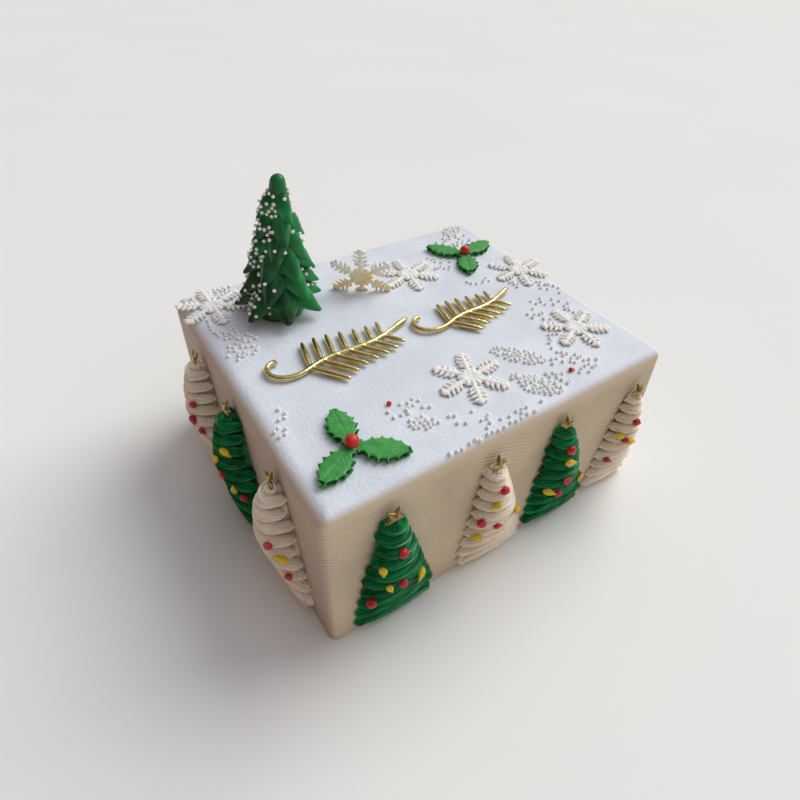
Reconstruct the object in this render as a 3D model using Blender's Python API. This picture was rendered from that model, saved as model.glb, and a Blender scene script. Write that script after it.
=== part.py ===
"""New year cake: a white block cake with piped trees round its sides and sugar toppings on it.

Metres, +Z up. The origin is the middle of the underside, +X runs along the longer side, and
-Y is the front side, with four trees on it.
"""
import math
import random

import bmesh
import bpy
from mathutils import Matrix, Vector
from mathutils.bvhtree import BVHTree

MM = 0.001

# The cake: an iced block with soft edges
CAKE_LENGTH = 225 * MM
CAKE_WIDTH = 197 * MM
CAKE_HEIGHT = 100 * MM
TOP_EDGE_RADIUS = 5 * MM
SOFT_EDGE_RADIUS = 8 * MM      # the top edge over the left side is rounder
CORNER_RADIUS = 5 * MM
GAP = 0.3 * MM                 # between pieces that rest on each other
TOP = CAKE_HEIGHT + GAP        # where toppings start
SEAM_MERGE = 0.03 * MM         # slivers at fused seams are merged below this

# Sugar pearls and red sprinkles, sunk a little in the icing
PEARL_RADIUS = 1.05 * MM
PEARL_SINK = 0.3 * MM
PEARL_SPACING = 2.3 * MM
PEARL_SEED = 31
PEARL_TRIES = 40               # places drawn for each pearl before its cluster counts as full
PEARL_SHARE = 6                # the solid holds one pearl in six
EDGE_ROOM = 1.5 * MM           # pearls keep this far from the cake's edges
TOPPING_ROOM = 2 * MM          # and from the other toppings
GOLDEN_ANGLE = math.pi * (3 - math.sqrt(5))
SPRINKLE_RADIUS = 1.4 * MM
SPRINKLES = ((-51, -53), (49, -83))
# Each cluster: middle x, middle y, half length, half width (mm), turn (degrees), pearls
PEARL_CLUSTERS = (
    (-45, -60, 13, 8, -25, 14),
    (-44, -73, 8, 4, -25, 16),
    (-22, -82, 16, 5, -35, 9),
    (33, -57, 16, 6, -50, 48),
    (24, -81, 15, 6.5, -52, 56),
    (40, -84, 9, 5, -35, 9),
    (57, -80, 15, 9, -40, 22),
    (0, -94, 22, 3, 0, 11),
    (62, -60, 14, 6, 60, 10),
    (84, -34, 20, 15, -40, 22),
    (100, -8, 16, 5, -60, 10),
    (73, 12, 20, 7, -40, 12),
    (74, 62, 30, 17, 35, 34),
    (95, 90, 10, 6, 35, 22),
    (10, 68, 16, 10, 0, 14),
    (-86, 88, 18, 8, -10, 46),
    (-97, 56, 16, 8, 90, 36),
    (-95, 30, 12, 9, 60, 26),
    (-102, -36, 10, 4, 70, 9),
    (-20, -96.2, 25, 1, 0, 12),
)

# Piped trees, flat against the sides
TREE_FOOT = 2 * MM
TREE_TIP_HALF_WIDTH = 5.5 * MM
TREE_TAPER = 0.95
WIDEST_HEIGHT = 14 * MM
FOOT_TUCK = 2.5 * MM           # how far a tree's sides draw in from its widest height down to its foot
FULL_SHARE = 0.6               # share of its height at which a tree is thickest
TIP_BEND = 0.46 * math.pi      # how far round the thickness curves from there to the tip
TIP_FULLNESS = 0.3
ROPE_ROWS = 8
ROPE_LOBE = 1.8 * MM           # how far each row's end stands out past the groove
ROPE_GROOVE = 0.78             # thickness in a groove against that on a row
ROPE_SAG = 2.2 * MM            # the rows hang lower at their ends
SAG_HEIGHT = 20 * MM           # but less and less below this
DOT_RADIUS = 2.8 * MM
DOT_PEAK = 2.4 * MM
DOT_SINK = 1.5 * MM
DOT_SIDES = 6
# Each tree: foot and tip along the side, height of the tip, half width, thickness and thickness at
# the foot (mm)
FRONT_TREES = (
    (-76.5, -79, 83, 25.2, 13, 5),
    (-10, -18, 80.5, 24.5, 13, 5),
    (41, 30.5, 83, 25, 13, 5),
    (90, 92, 78, 22, 12, 5),
)
SIDE_TREES = (
    (-52, -49, 86, 24, 16, 8.5),
    (-3, 1, 86, 24, 16.5, 9.5),
    (56, 57, 86, 24.5, 16.5, 5.5),
)
# Sugar dots on a tree: place across (-1 to 1) and height in mm. The seven sets go round the cake twice.
DOT_SETS = (
    ((-0.02, 67), (-0.82, 31), (-0.04, 42), (-0.8, 57), (-0.48, 43), (0.66, 35)),
    ((-0.04, 69), (-0.86, 46), (-0.28, 41), (-0.46, 60), (0.72, 42), (-0.78, 33)),
    ((-0.2, 71), (-0.14, 45), (-0.3, 33), (-0.24, 62), (0.86, 32), (-0.74, 38)),
    ((-0.18, 61), (-0.78, 31), (-0.5, 48), (-0.84, 51), (-0.14, 45)),
    ((0.66, 62), (0.44, 50), (0.64, 42), (-0.86, 56)),
    ((0.46, 49), (0.88, 34), (0.78, 67), (0.3, 60), (0.7, 39)),
    ((-0.88, 56), (-0.86, 29), (0.7, 56), (0.86, 34), (-0.88, 46), (-0.8, 20), (0.9, 47)),
)

# Gold stars on the tips of the piped trees
STAR_RADIUS = 5.8 * MM
STAR_INNER_RADIUS = 2.6 * MM
STAR_THICKNESS = 1.2 * MM
STAR_PEAK = 1.2 * MM
STAR_RISE = 2.2 * MM           # middle of the star above the tree's tip: its lower part is pushed in
STAR_STAND_OFF = 3.6 * MM
STAR_LEAN = 14                 # degrees back towards the cake
STAR_TURNS = (36, -8, 4, 14, -20, 9, 2)   # degrees in its own plane, one for each set of dots

# The standing tree: a core wrapped in pointed leaves
FIR_PLACE = (-62 * MM, 54 * MM)
FIR_HEIGHT = 83 * MM
FIR_CORE_RADIUS = 14 * MM
FIR_CAP_RADIUS = 4.3 * MM
FIR_LEAN = 8 * MM
FIR_SIDES = 11
FIR_FOOT_RADIUS = 25 * MM
LEAF_THICKNESS = 2.0 * MM
LEAF_RIDGE = 1.6 * MM          # how far the middle of a leaf stands up
LEAF_SWELL = 1.5 * MM          # and how far it bows out between root and tip
TIER_TURN = 0.35               # radians from one tier to the next
# Each tier: height of the tips, height of the roots, reach of the tips, leaf width (mm), leaves
FIR_TIERS = (
    (3, 21, 22.5, 15, 7),
    (14, 33, 19, 14, 6),
    (25, 44, 16, 12.5, 6),
    (35, 53, 13, 11, 5),
    (46, 62, 10.5, 9.5, 4),
    (58, 73, 8, 8, 3),
)
FIR_PEARLS = 16

# Holly: three leaves and a berry
HOLLY_THICKNESS = 3.2 * MM
HOLLY_DOME = 0.5 * MM
HOLLY_HALF_WIDTH = 8.2 * MM
HOLLY_SPIKES = 6
HOLLY_SCALLOP = 2.5 * MM
HOLLY_TIP_SCALLOP = 0.5         # how much shallower the scallops are towards the tip
HOLLY_TIP_BITE = 0.8 * MM      # the scallop at a leaf's blunt tip
BERRY_RADIUS = 3.6 * MM
BERRY_CLEAR = 2.6 * MM         # the leaves stop short of the berry's middle
# Berry place, then the three leaf tips, in mm
HOLLY = (
    ((-81.3, -69.9), ((-77.8, -44.4), (-60.6, -86.5), (-102.7, -82.1))),
    ((77.5, 51.2), ((60.8, 73.5), (104.4, 58.4), (65.2, 29.2))),
)

# Snowflakes
FLAKE_RADIUS = 21.5 * MM
FLAKE_HUB = 8.5 * MM
FLAKE_ARM_HALF_WIDTH = 2.0 * MM
FLAKE_BARB = 4.6 * MM
FLAKE_BARBS = 3
FLAKE_THICKNESS = 2.2 * MM
LYING_FLAKES = ((-3, -58.5, 8), (82, -55, 25), (99, 16.6, 10), (-95.5, 77, 30), (28, 50, 20))
STANDING_FLAKE = (-9, 48)
STANDING_TURN = -35            # degrees from +X, the way its foot runs
STANDING_TILT = 10             # degrees back from upright
STANDING_CENTRE = 10.5 * MM    # its middle above the icing: the lowest arm is pushed in
STANDING_ROOM = 6 * MM

# Gold sprigs: a curled stem with pairs of slender leaves
SPRIG_HEIGHT = 4 * MM
SPRIG_STEM_HALF_WIDTH = 1.5 * MM
SPRIG_LEAF_HALF_WIDTH = 2.3 * MM
SPRIG_TOP_WIDTH = 0.7          # width on top against that at the foot
SPRIG_LEAF_ANGLES = (68, -62)  # degrees from the sprig's direction, upper and lower leaves
SPRIG_LEAF_SHRINK = 0.42       # how much shorter the last leaf is than the first
SPRIG_LEAF_WIDEST = 0.45       # share of its length where a leaf is widest
SPRIG_LEAF_FOOT = 1.2 * MM     # half width of a leaf where it leaves the stem
SPRIG_END_LEAF = 0.7           # length of the end leaf against the first leaf's
SPRIG_CURL = 210               # degrees that the stem's end turns through
SPRIG_CURL_LENGTH = 34 * MM
SPRIG_CURL_STEPS = 10
# Each sprig: stem start x and y, turn (degrees), stem length, sway, leaf length (mm), leaf pairs
SPRIGS = (
    (-76, -10, 9, 60, 2.0, 22, 7),
    (14, -14, 11, 49, 1.5, 19, 6),
)

WHITE_ICING = (0.83, 0.83, 0.86)
CREAM = (0.86, 0.80, 0.70)
PIPED_GREEN = (0.005, 0.13, 0.035)
FIR_GREEN = (0.006, 0.10, 0.032)
HOLLY_GREEN = (0.05, 0.33, 0.06)
BERRY_RED = (0.70, 0.03, 0.03)
GOLD = (0.72, 0.52, 0.18)
IVORY = (0.80, 0.76, 0.66)


def clear_scene():
    for thing in list(bpy.data.objects):
        bpy.data.objects.remove(thing)


def material(name, colour, roughness, metallic=0.0):
    """One plain finish: its colour, roughness and whether it is metal."""
    made = bpy.data.materials.new(name)
    made.use_nodes = True
    shader = made.node_tree.nodes["Principled BSDF"]
    shader.inputs["Base Color"].default_value = (*colour, 1.0)
    shader.inputs["Roughness"].default_value = roughness
    shader.inputs["Metallic"].default_value = metallic
    return made


def add_object(name, bm, finish, smooth_angle=None):
    """Put the finished shape in the scene as a named piece, with its faces pointing out."""
    bmesh.ops.recalc_face_normals(bm, faces=bm.faces)
    mesh = bpy.data.meshes.new(name)
    bm.to_mesh(mesh)
    bm.free()
    if smooth_angle is not None:
        mesh.shade_smooth()
        mesh.set_sharp_from_angle(angle=math.radians(smooth_angle))
    mesh.materials.append(finish)
    piece = bpy.data.objects.new(name, mesh)
    bpy.context.scene.collection.objects.link(piece)
    return piece


def fuse(body, bits, solver="EXACT"):
    """Join small bits to a body, as one solid, by a single union."""
    group = bpy.data.collections.new("bits")
    bpy.context.scene.collection.children.link(group)
    for bit in bits:
        group.objects.link(bit)
    union = body.modifiers.new("fuse", "BOOLEAN")
    union.operation = "UNION"
    union.operand_type = "COLLECTION"
    union.solver = solver
    union.collection = group
    bpy.context.view_layer.objects.active = body
    bpy.ops.object.modifier_apply(modifier=union.name)
    for bit in bits:
        bpy.data.objects.remove(bit)
    bpy.data.collections.remove(group)
    tidy_seams(body)


def tidy_seams(body):
    """Merge the slivers that a union leaves where two surfaces meet at a low angle."""
    bm = bmesh.new()
    bm.from_mesh(body.data)
    bmesh.ops.triangulate(bm, faces=bm.faces)
    bmesh.ops.dissolve_degenerate(bm, dist=SEAM_MERGE, edges=bm.edges)
    bmesh.ops.remove_doubles(bm, verts=bm.verts, dist=SEAM_MERGE)
    bm.to_mesh(body.data)
    bm.free()


def cut_off_below(bm, height):
    """Cut a shape off where it is pushed in the icing, and close the cut."""
    parts = bm.verts[:] + bm.edges[:] + bm.faces[:]
    cut = bmesh.ops.bisect_plane(bm, geom=parts, plane_co=(0, 0, height), plane_no=(0, 0, 1), clear_inner=True)
    edges = [part for part in cut["geom_cut"] if isinstance(part, bmesh.types.BMEdge)]
    bmesh.ops.edgeloop_fill(bm, edges=edges)


def ball(name, centre, radius, finish, turn=0.0):
    """A small faceted ball."""
    bm = bmesh.new()
    place = Matrix.Translation(centre) @ Matrix.Rotation(turn, 4, "Z")
    bmesh.ops.create_icosphere(bm, subdivisions=1, radius=radius, matrix=place)
    return add_object(name, bm, finish, smooth_angle=60)


def skin(bm, rings):
    """Join rings of equally many points with quads, and close the two ends."""
    made = [[bm.verts.new(point) for point in ring] for ring in rings]
    count = len(rings[0])
    for lower, upper in zip(made, made[1:]):
        for i in range(count):
            j = (i + 1) % count
            bm.faces.new((lower[i], lower[j], upper[j], upper[i]))
    bm.faces.new(made[0])
    bm.faces.new(made[-1])


def edge_radius(outward):
    """Radius of the top edge, rounder where the side looks along -X."""
    leftness = max(0.0, -outward.x) ** 2
    return TOP_EDGE_RADIUS + (SOFT_EDGE_RADIUS - TOP_EDGE_RADIUS) * leftness


def cake_outline():
    """The block's plan: points with their outward directions, round each corner."""
    steps = 4
    outline = []
    for corner in range(4):
        middle_angle = math.radians(45 + 90 * corner)
        sx = math.copysign(1, math.cos(middle_angle))
        sy = math.copysign(1, math.sin(middle_angle))
        centre = Vector((sx * (CAKE_LENGTH / 2 - CORNER_RADIUS), sy * (CAKE_WIDTH / 2 - CORNER_RADIUS), 0))
        for step in range(steps + 1):
            angle = math.radians(90 * corner + 90 * step / steps)
            outward = Vector((math.cos(angle), math.sin(angle), 0))
            outline.append((centre + outward * CORNER_RADIUS, outward))
    return outline


def cake_block(finish):
    """The iced block: straight sides and a rounded top edge."""
    outline = cake_outline()
    rings = [[point for point, _ in outline]]
    edge_steps = 4
    for step in range(edge_steps + 1):
        bend = math.radians(90 * step / edge_steps)
        ring = []
        for point, outward in outline:
            radius = edge_radius(outward)
            inward = radius * (1 - math.cos(bend))
            height = CAKE_HEIGHT - radius * (1 - math.sin(bend))
            ring.append(point - outward * inward + Vector((0, 0, height)))
        rings.append(ring)
    bm = bmesh.new()
    skin(bm, rings)
    return add_object("cake", bm, finish, smooth_angle=50)


def icing_height(x, y):
    """Height of the icing at a place on top, lower on the rounded edges."""
    height = CAKE_HEIGHT
    for place, half, radius in ((-x, CAKE_LENGTH / 2, SOFT_EDGE_RADIUS), (x, CAKE_LENGTH / 2, TOP_EDGE_RADIUS),
                                (-y, CAKE_WIDTH / 2, TOP_EDGE_RADIUS), (y, CAKE_WIDTH / 2, TOP_EDGE_RADIUS)):
        past = place - (half - radius)
        if past > 0:
            height -= radius - math.sqrt(max(radius * radius - past * past, 0.0))
    return height


def distance_to_line(place, start, end):
    """Distance on the top from a place to a straight stretch."""
    along = end - start
    share = max(0.0, min(1.0, (place - start).dot(along) / along.length_squared))
    return (place - start - along * share).length


def flake_arms(x, y, turn):
    """The six arms of a lying flake, as stretches on the top."""
    centre = Vector((x, y)) * MM
    for arm in range(6):
        angle = math.radians(turn + 60 * arm)
        yield centre, centre + Vector((math.cos(angle), math.sin(angle))) * FLAKE_RADIUS


def topping_stretches():
    """Stretches of the top that toppings cover, each with the room they need on either side."""
    for centre, tips in HOLLY:
        for tip in tips:
            yield Vector(centre) * MM, Vector(tip) * MM, HOLLY_HALF_WIDTH + TOPPING_ROOM
    for x, y, turn in LYING_FLAKES:
        for start, end in flake_arms(x, y, turn):
            yield start, end, FLAKE_BARB + TOPPING_ROOM
    foot = Vector(STANDING_FLAKE) * MM
    way = Vector((math.cos(math.radians(STANDING_TURN)), math.sin(math.radians(STANDING_TURN)))) * FLAKE_RADIUS
    yield foot - way, foot + way, STANDING_ROOM
    fir = Vector(FIR_PLACE)
    yield fir, fir + Vector((MM, 0)), FIR_FOOT_RADIUS + TOPPING_ROOM
    for x, y, turn, length, sway, leaf_length, pairs in SPRIGS:
        stem = sprig_stem(x, y, turn, length, sway, pairs)
        yield stem[0][0], stem[-1][0], leaf_length * MM + TOPPING_ROOM


def pearl_places():
    """Places of the pearls: loose clusters, no two touching, clear of the other toppings."""
    draw = random.Random(PEARL_SEED)
    stretches = list(topping_stretches())
    places = [Vector(spot) * MM for spot in SPRINKLES]
    limit_x = CAKE_LENGTH / 2 - EDGE_ROOM
    limit_y = CAKE_WIDTH / 2 - EDGE_ROOM
    for x, y, along, across, turn, count in PEARL_CLUSTERS:
        turn = math.radians(turn)
        wanted = len(places) + count
        for _ in range(PEARL_TRIES * count):
            reach = math.sqrt(draw.random())
            angle = draw.uniform(0, 2 * math.pi)
            u = along * reach * math.cos(angle)
            v = across * reach * math.sin(angle)
            place = Vector((x + u * math.cos(turn) - v * math.sin(turn),
                            y + u * math.sin(turn) + v * math.cos(turn))) * MM
            if abs(place.x) > limit_x or abs(place.y) > limit_y:
                continue
            if any((place - other).length < PEARL_SPACING for other in places):
                continue
            if any(distance_to_line(place, start, end) < room for start, end, room in stretches):
                continue
            places.append(place)
            if len(places) == wanted:
                break
    return places[len(SPRINKLES):]


def iced_cake(finish):
    """The block with its pearls and sprinkles fused on."""
    block = cake_block(finish)
    bits = []
    for i, place in enumerate(pearl_places()[::PEARL_SHARE]):
        height = icing_height(place.x, place.y) + PEARL_RADIUS - PEARL_SINK
        bits.append(ball("pearl", (place.x, place.y, height), PEARL_RADIUS, finish, turn=i))
    for x, y in SPRINKLES:
        height = CAKE_HEIGHT + SPRINKLE_RADIUS - PEARL_SINK
        bits.append(ball("sprinkle", (x * MM, y * MM, height), SPRINKLE_RADIUS, finish))
    fuse(block, bits)


def tree_half_width(z, top, half_width):
    """Half width at a height: drawn in a little at the foot, tapering to the tip."""
    if z < WIDEST_HEIGHT:
        return half_width - FOOT_TUCK * ((WIDEST_HEIGHT - z) / (WIDEST_HEIGHT - TREE_FOOT)) ** 2
    share = (top - z) / (top - WIDEST_HEIGHT)
    return TREE_TIP_HALF_WIDTH + (half_width - TREE_TIP_HALF_WIDTH) * share ** TREE_TAPER


def tree_thickness(z, top, thickness, foot_thickness):
    """Thickness on the middle line: straight from the foot to the fullest height, then rounding off."""
    full = FULL_SHARE * top
    if z < full:
        return foot_thickness + (thickness - foot_thickness) * z / full
    return thickness * math.cos(TIP_BEND * (z - full) / (top - full)) ** TIP_FULLNESS


def across_profile(u):
    """Share of the thickness at a place across the tree."""
    return math.sqrt(max(1 - abs(u) ** 2.5, 0.0))


def side_matrix(quarter):
    """Turns a piece made for the front side to another side: 0 front, 1 right, 2 back, 3 left."""
    out = CAKE_WIDTH / 2 if quarter % 2 == 0 else CAKE_LENGTH / 2
    return Matrix.Rotation(math.pi / 2 * quarter, 4, "Z") @ Matrix.Translation((0, -out - GAP, 0))


def groove_share(z, top):
    """1 in a groove between two piped rows, 0 on the crest of a row."""
    rows_up = ROPE_ROWS * (z - TREE_FOOT) / (top - TREE_FOOT)
    return abs(2 * (rows_up % 1.0) - 1)


def tree_point(u, z, tree):
    """A point of the tree's front, made against the plane y = 0 and standing out along -Y."""
    foot, tip, top, half_width, thickness, foot_thickness = [value * MM for value in tree]
    groove = groove_share(z, top)
    half = tree_half_width(z, top, half_width) - ROPE_LOBE * groove
    thick = tree_thickness(z, top, thickness, foot_thickness) * across_profile(u)
    thick *= 1 - (1 - ROPE_GROOVE) * groove
    middle = foot + (tip - foot) * z / top
    sag = ROPE_SAG * u * u * (1 - z / top) * min(1.0, z / SAG_HEIGHT)
    return Vector((middle + half * u, -thick, z - sag))


def piped_tree(name, tree, quarter, dots, finish):
    """A tree of piped rows, one over the other, with sugar dots fused on."""
    top = tree[2] * MM
    columns = (-1, -0.85, -0.35, 0.35, 0.85, 1)
    levels = 2 * ROPE_ROWS
    bm = bmesh.new()
    grid = []
    for level in range(levels + 1):
        z = TREE_FOOT + (top - TREE_FOOT) * level / levels
        end_row = level in (0, levels)
        row = []
        for u in columns:
            point = tree_point(u, z, tree)
            if end_row or abs(u) == 1:
                point.y = 0.0
            row.append(bm.verts.new(point))
        grid.append(row)
    for lower, upper in zip(grid, grid[1:]):
        for i in range(len(columns) - 1):
            bm.faces.new((lower[i], lower[i + 1], upper[i + 1], upper[i]))
    rim = [row[-1] for row in grid] + grid[-1][-2::-1]
    rim += [row[0] for row in grid[-2::-1]] + grid[0][1:-1]
    bm.faces.new(rim)
    bmesh.ops.transform(bm, matrix=side_matrix(quarter), verts=bm.verts)
    body = add_object(name, bm, finish, smooth_angle=60)
    bits = [sugar_dot(side_matrix(quarter) @ Matrix.Translation(tree_point(u, height * MM, tree)), finish)
            for u, height in dots]
    fuse(body, bits)


def sugar_dot(place, finish):
    """A piped dot that ends in a peak, its base sunk in the tree."""
    bm = bmesh.new()
    lift = Matrix.Translation((0, DOT_SINK - (DOT_SINK + DOT_PEAK) / 2, 0))
    bmesh.ops.create_cone(bm, cap_ends=True, segments=DOT_SIDES, radius1=DOT_RADIUS, radius2=0,
                          depth=DOT_SINK + DOT_PEAK, matrix=place @ lift @ Matrix.Rotation(math.pi / 2, 4, "X"))
    return add_object("dot", bm, finish)


def gold_star(name, tree, turn, quarter, finish):
    """A five-pointed star with a low peak, pushed in the tip of a piped tree and leaning back."""
    tip, top = tree[1:3]
    bm = bmesh.new()
    back = []
    front = []
    for i in range(10):
        radius = STAR_RADIUS if i % 2 == 0 else STAR_INNER_RADIUS
        angle = math.radians(90 + turn + 36 * i)
        x = radius * math.cos(angle)
        z = radius * math.sin(angle)
        back.append(bm.verts.new((x, 0, z)))
        front.append(bm.verts.new((x, -STAR_THICKNESS, z)))
    peak = bm.verts.new((0, -STAR_THICKNESS - STAR_PEAK, 0))
    for i in range(10):
        j = (i + 1) % 10
        bm.faces.new((back[i], back[j], front[j], front[i]))
        bm.faces.new((front[i], front[j], peak))
    bm.faces.new(back)
    place = Matrix.Translation((tip * MM, -STAR_STAND_OFF, top * MM + STAR_RISE))
    lean = Matrix.Rotation(math.radians(-STAR_LEAN), 4, "X")
    bmesh.ops.transform(bm, matrix=side_matrix(quarter) @ place @ lean, verts=bm.verts)
    cut_off_below(bm, top * MM + GAP)
    add_object(name, bm, finish)


def fir_leaf(angle, tip_height, root_height, reach, width):
    """One pointed leaf with a ridge, from its root in the core to its tip."""
    outward = Vector((math.cos(angle), math.sin(angle), 0))
    side = Vector((-math.sin(angle), math.cos(angle), 0))
    root_reach = fir_core_radius(root_height) - 1.5 * MM
    root = outward * root_reach + Vector((0, 0, root_height))
    tip = outward * reach + Vector((0, 0, tip_height))
    middle = root.lerp(tip, 0.5) + outward * LEAF_SWELL
    across = (tip - root).cross(side).normalized()
    if across.dot(outward) < 0:
        across = -across
    ridge = across * LEAF_RIDGE
    under = -across * LEAF_THICKNESS
    tops = (
        (root - side * width * 0.32, root + ridge, root + side * width * 0.32),
        (middle - side * width * 0.5, middle + ridge, middle + side * width * 0.5),
    )
    bm = bmesh.new()
    upper = [[bm.verts.new(point) for point in row] for row in tops]
    lower = [[bm.verts.new(point + under) for point in row] for row in tops]
    upper_tip = bm.verts.new(tip)
    lower_tip = bm.verts.new(tip + under * 0.5)
    for rows, end in ((upper, upper_tip), (lower, lower_tip)):
        for i in range(2):
            bm.faces.new((rows[0][i], rows[0][i + 1], rows[1][i + 1], rows[1][i]))
            bm.faces.new((rows[1][i], rows[1][i + 1], end))
    for i in (0, 2):
        bm.faces.new((upper[0][i], upper[1][i], lower[1][i], lower[0][i]))
        bm.faces.new((upper[1][i], upper_tip, lower_tip, lower[1][i]))
    for i in range(2):
        bm.faces.new((upper[0][i], upper[0][i + 1], lower[0][i + 1], lower[0][i]))
    return bm


def fir_core_radius(height):
    """Radius of the core: nearly a cone, with a rounded cap."""
    cap_start = FIR_HEIGHT - FIR_CAP_RADIUS
    if height > cap_start:
        return math.sqrt(max(FIR_CAP_RADIUS ** 2 - (height - cap_start) ** 2, 0.0))
    return FIR_CAP_RADIUS + (FIR_CORE_RADIUS - FIR_CAP_RADIUS) * (1 - height / cap_start)


def fir_lean(height):
    """How far the standing tree leans along +X at a height."""
    return FIR_LEAN * height / FIR_HEIGHT


def lean_over(points):
    for point in points:
        point.co.x += fir_lean(point.co.z)


def standing_tree(finish):
    """The standing tree: a leaning core, six tiers of leaves, and pearls in among them."""
    heights = [0.0, 0.35 * FIR_HEIGHT, 0.7 * FIR_HEIGHT, FIR_HEIGHT - FIR_CAP_RADIUS,
               FIR_HEIGHT - 0.4 * FIR_CAP_RADIUS, FIR_HEIGHT - 0.05 * FIR_CAP_RADIUS]
    rings = []
    for height in heights:
        radius = fir_core_radius(height)
        turns = [2 * math.pi * i / FIR_SIDES for i in range(FIR_SIDES)]
        rings.append([Vector((radius * math.cos(turn), radius * math.sin(turn), height)) for turn in turns])
    bm = bmesh.new()
    skin(bm, rings)
    lean_over(bm.verts)
    core = add_object("standing_tree", bm, finish, smooth_angle=40)
    bits = []
    for tier, (tip, root, reach, width, count) in enumerate(FIR_TIERS):
        for i in range(count):
            angle = 2 * math.pi * (i + 0.5 * (tier % 2)) / count + TIER_TURN * tier
            leaf = fir_leaf(angle, tip * MM, root * MM, reach * MM, width * MM)
            lean_over(leaf.verts)
            bits.append(add_object("leaf", leaf, finish))
    fuse(core, bits, solver="MANIFOLD")
    fuse(core, fir_pearls(core, finish), solver="MANIFOLD")
    place = Matrix.Translation((*FIR_PLACE, TOP))
    core.data.transform(place)


def fir_pearls(tree, finish):
    """Pearls spread down the tree by the golden angle, each laid on the leaf that it meets."""
    surface = BVHTree.FromObject(tree, bpy.context.evaluated_depsgraph_get())
    bits = []
    for i in range(FIR_PEARLS):
        height = FIR_HEIGHT * (0.06 + 0.82 * (i + 0.5) / FIR_PEARLS)
        angle = GOLDEN_ANGLE * i
        outward = Vector((math.cos(angle), math.sin(angle), 0))
        start = outward * 2 * FIR_CORE_RADIUS + Vector((fir_lean(height), 0, height))
        hit = surface.ray_cast(start, -outward)[0]
        bits.append(ball("pearl", hit + outward * (PEARL_RADIUS - PEARL_SINK), PEARL_RADIUS, finish, turn=i))
    return bits


def holly_half_width(share):
    """Half width of a leaf along its length, from root 0 to tip 1, spikes included."""
    return HOLLY_HALF_WIDTH * math.sin(math.pi * (0.09 + 0.86 * share)) ** 0.7


def holly_stations():
    """Stations along a leaf: its share of the length, and how far the edge is scalloped in."""
    spikes = [0.05 + 0.95 * i / (HOLLY_SPIKES - 1) for i in range(HOLLY_SPIKES)]
    stations = []
    for spike, following in zip(spikes, spikes[1:]):
        middle = (spike + following) / 2
        stations.append((spike, 0.0))
        stations.append((middle, HOLLY_SCALLOP * (1 - HOLLY_TIP_SCALLOP * middle ** 2)))
    stations.append((1.0, 0.0))
    return stations


def holly_leaf(name, centre, tip, finish):
    """A holly leaf: spikes with scallops between them, and a low crown along the middle."""
    centre = Vector(centre) * MM
    tip = Vector(tip) * MM
    way = (tip - centre).normalized()
    side = Vector((-way.y, way.x))
    root = centre + way * BERRY_CLEAR
    length = (tip - root).length
    bm = bmesh.new()
    faces = []
    for height, crown in ((TOP + HOLLY_THICKNESS, HOLLY_DOME), (TOP, 0.0)):
        rows = []
        for share, scallop in holly_stations():
            half = holly_half_width(share) - scallop
            bite = HOLLY_TIP_BITE if share == 1 else 0.0
            row = []
            for across in (-1, 0, 1):
                middle = root + way * (length * share - (bite if across == 0 else 0.0))
                rise = crown if across == 0 else 0.0
                row.append(bm.verts.new((*(middle + side * half * across), height + rise)))
            rows.append(row)
        for first, second in zip(rows, rows[1:]):
            for i in range(2):
                bm.faces.new((first[i], first[i + 1], second[i + 1], second[i]))
        edge = [row[0] for row in rows] + [rows[-1][1]] + [row[2] for row in reversed(rows)] + [rows[0][1]]
        faces.append(edge)
    upper, lower = faces
    for i in range(len(upper)):
        j = (i + 1) % len(upper)
        bm.faces.new((upper[i], upper[j], lower[j], lower[i]))
    add_object(name, bm, finish)


def berry(name, centre, finish):
    """A red berry resting on the roots of its three leaves."""
    bm = bmesh.new()
    seat = math.sqrt(BERRY_RADIUS ** 2 - BERRY_CLEAR ** 2)
    height = TOP + HOLLY_THICKNESS + HOLLY_DOME + GAP + seat
    place = Matrix.Translation((*(Vector(centre) * MM), height))
    bmesh.ops.create_uvsphere(bm, u_segments=10, v_segments=6, radius=BERRY_RADIUS, matrix=place)
    add_object(name, bm, finish, smooth_angle=60)


def flake_outline():
    """Outline of a snowflake: six arms with slanting barbs on both sides."""
    outline = []
    for arm in range(6):
        turn = Matrix.Rotation(math.radians(60 * arm), 2)
        half_arm = []
        pitch = (FLAKE_RADIUS - FLAKE_HUB) / FLAKE_BARBS
        for barb in range(FLAKE_BARBS):
            start = FLAKE_HUB + pitch * (barb + 0.1)
            half_arm.append(Vector((start, FLAKE_ARM_HALF_WIDTH)))
            half_arm.append(Vector((start + 0.6 * pitch, FLAKE_BARB)))
        notch = Matrix.Rotation(math.radians(-30), 2) @ Vector((FLAKE_HUB, 0))
        outline.append(turn @ notch)
        outline += [turn @ Vector((point.x, -point.y)) for point in half_arm]
        outline.append(turn @ Vector((FLAKE_RADIUS, 0)))
        outline += [turn @ point for point in reversed(half_arm)]
    return outline


def snowflake(name, place, finish, cut_below=None):
    """A flat snowflake put in place by a matrix, cut off below a height where it is pushed in."""
    bm = bmesh.new()
    rings = [[Vector((*point, height)) for point in flake_outline()] for height in (0.0, FLAKE_THICKNESS)]
    skin(bm, rings)
    bmesh.ops.transform(bm, matrix=place, verts=bm.verts)
    if cut_below is not None:
        cut_off_below(bm, cut_below)
    add_object(name, bm, finish)


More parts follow.
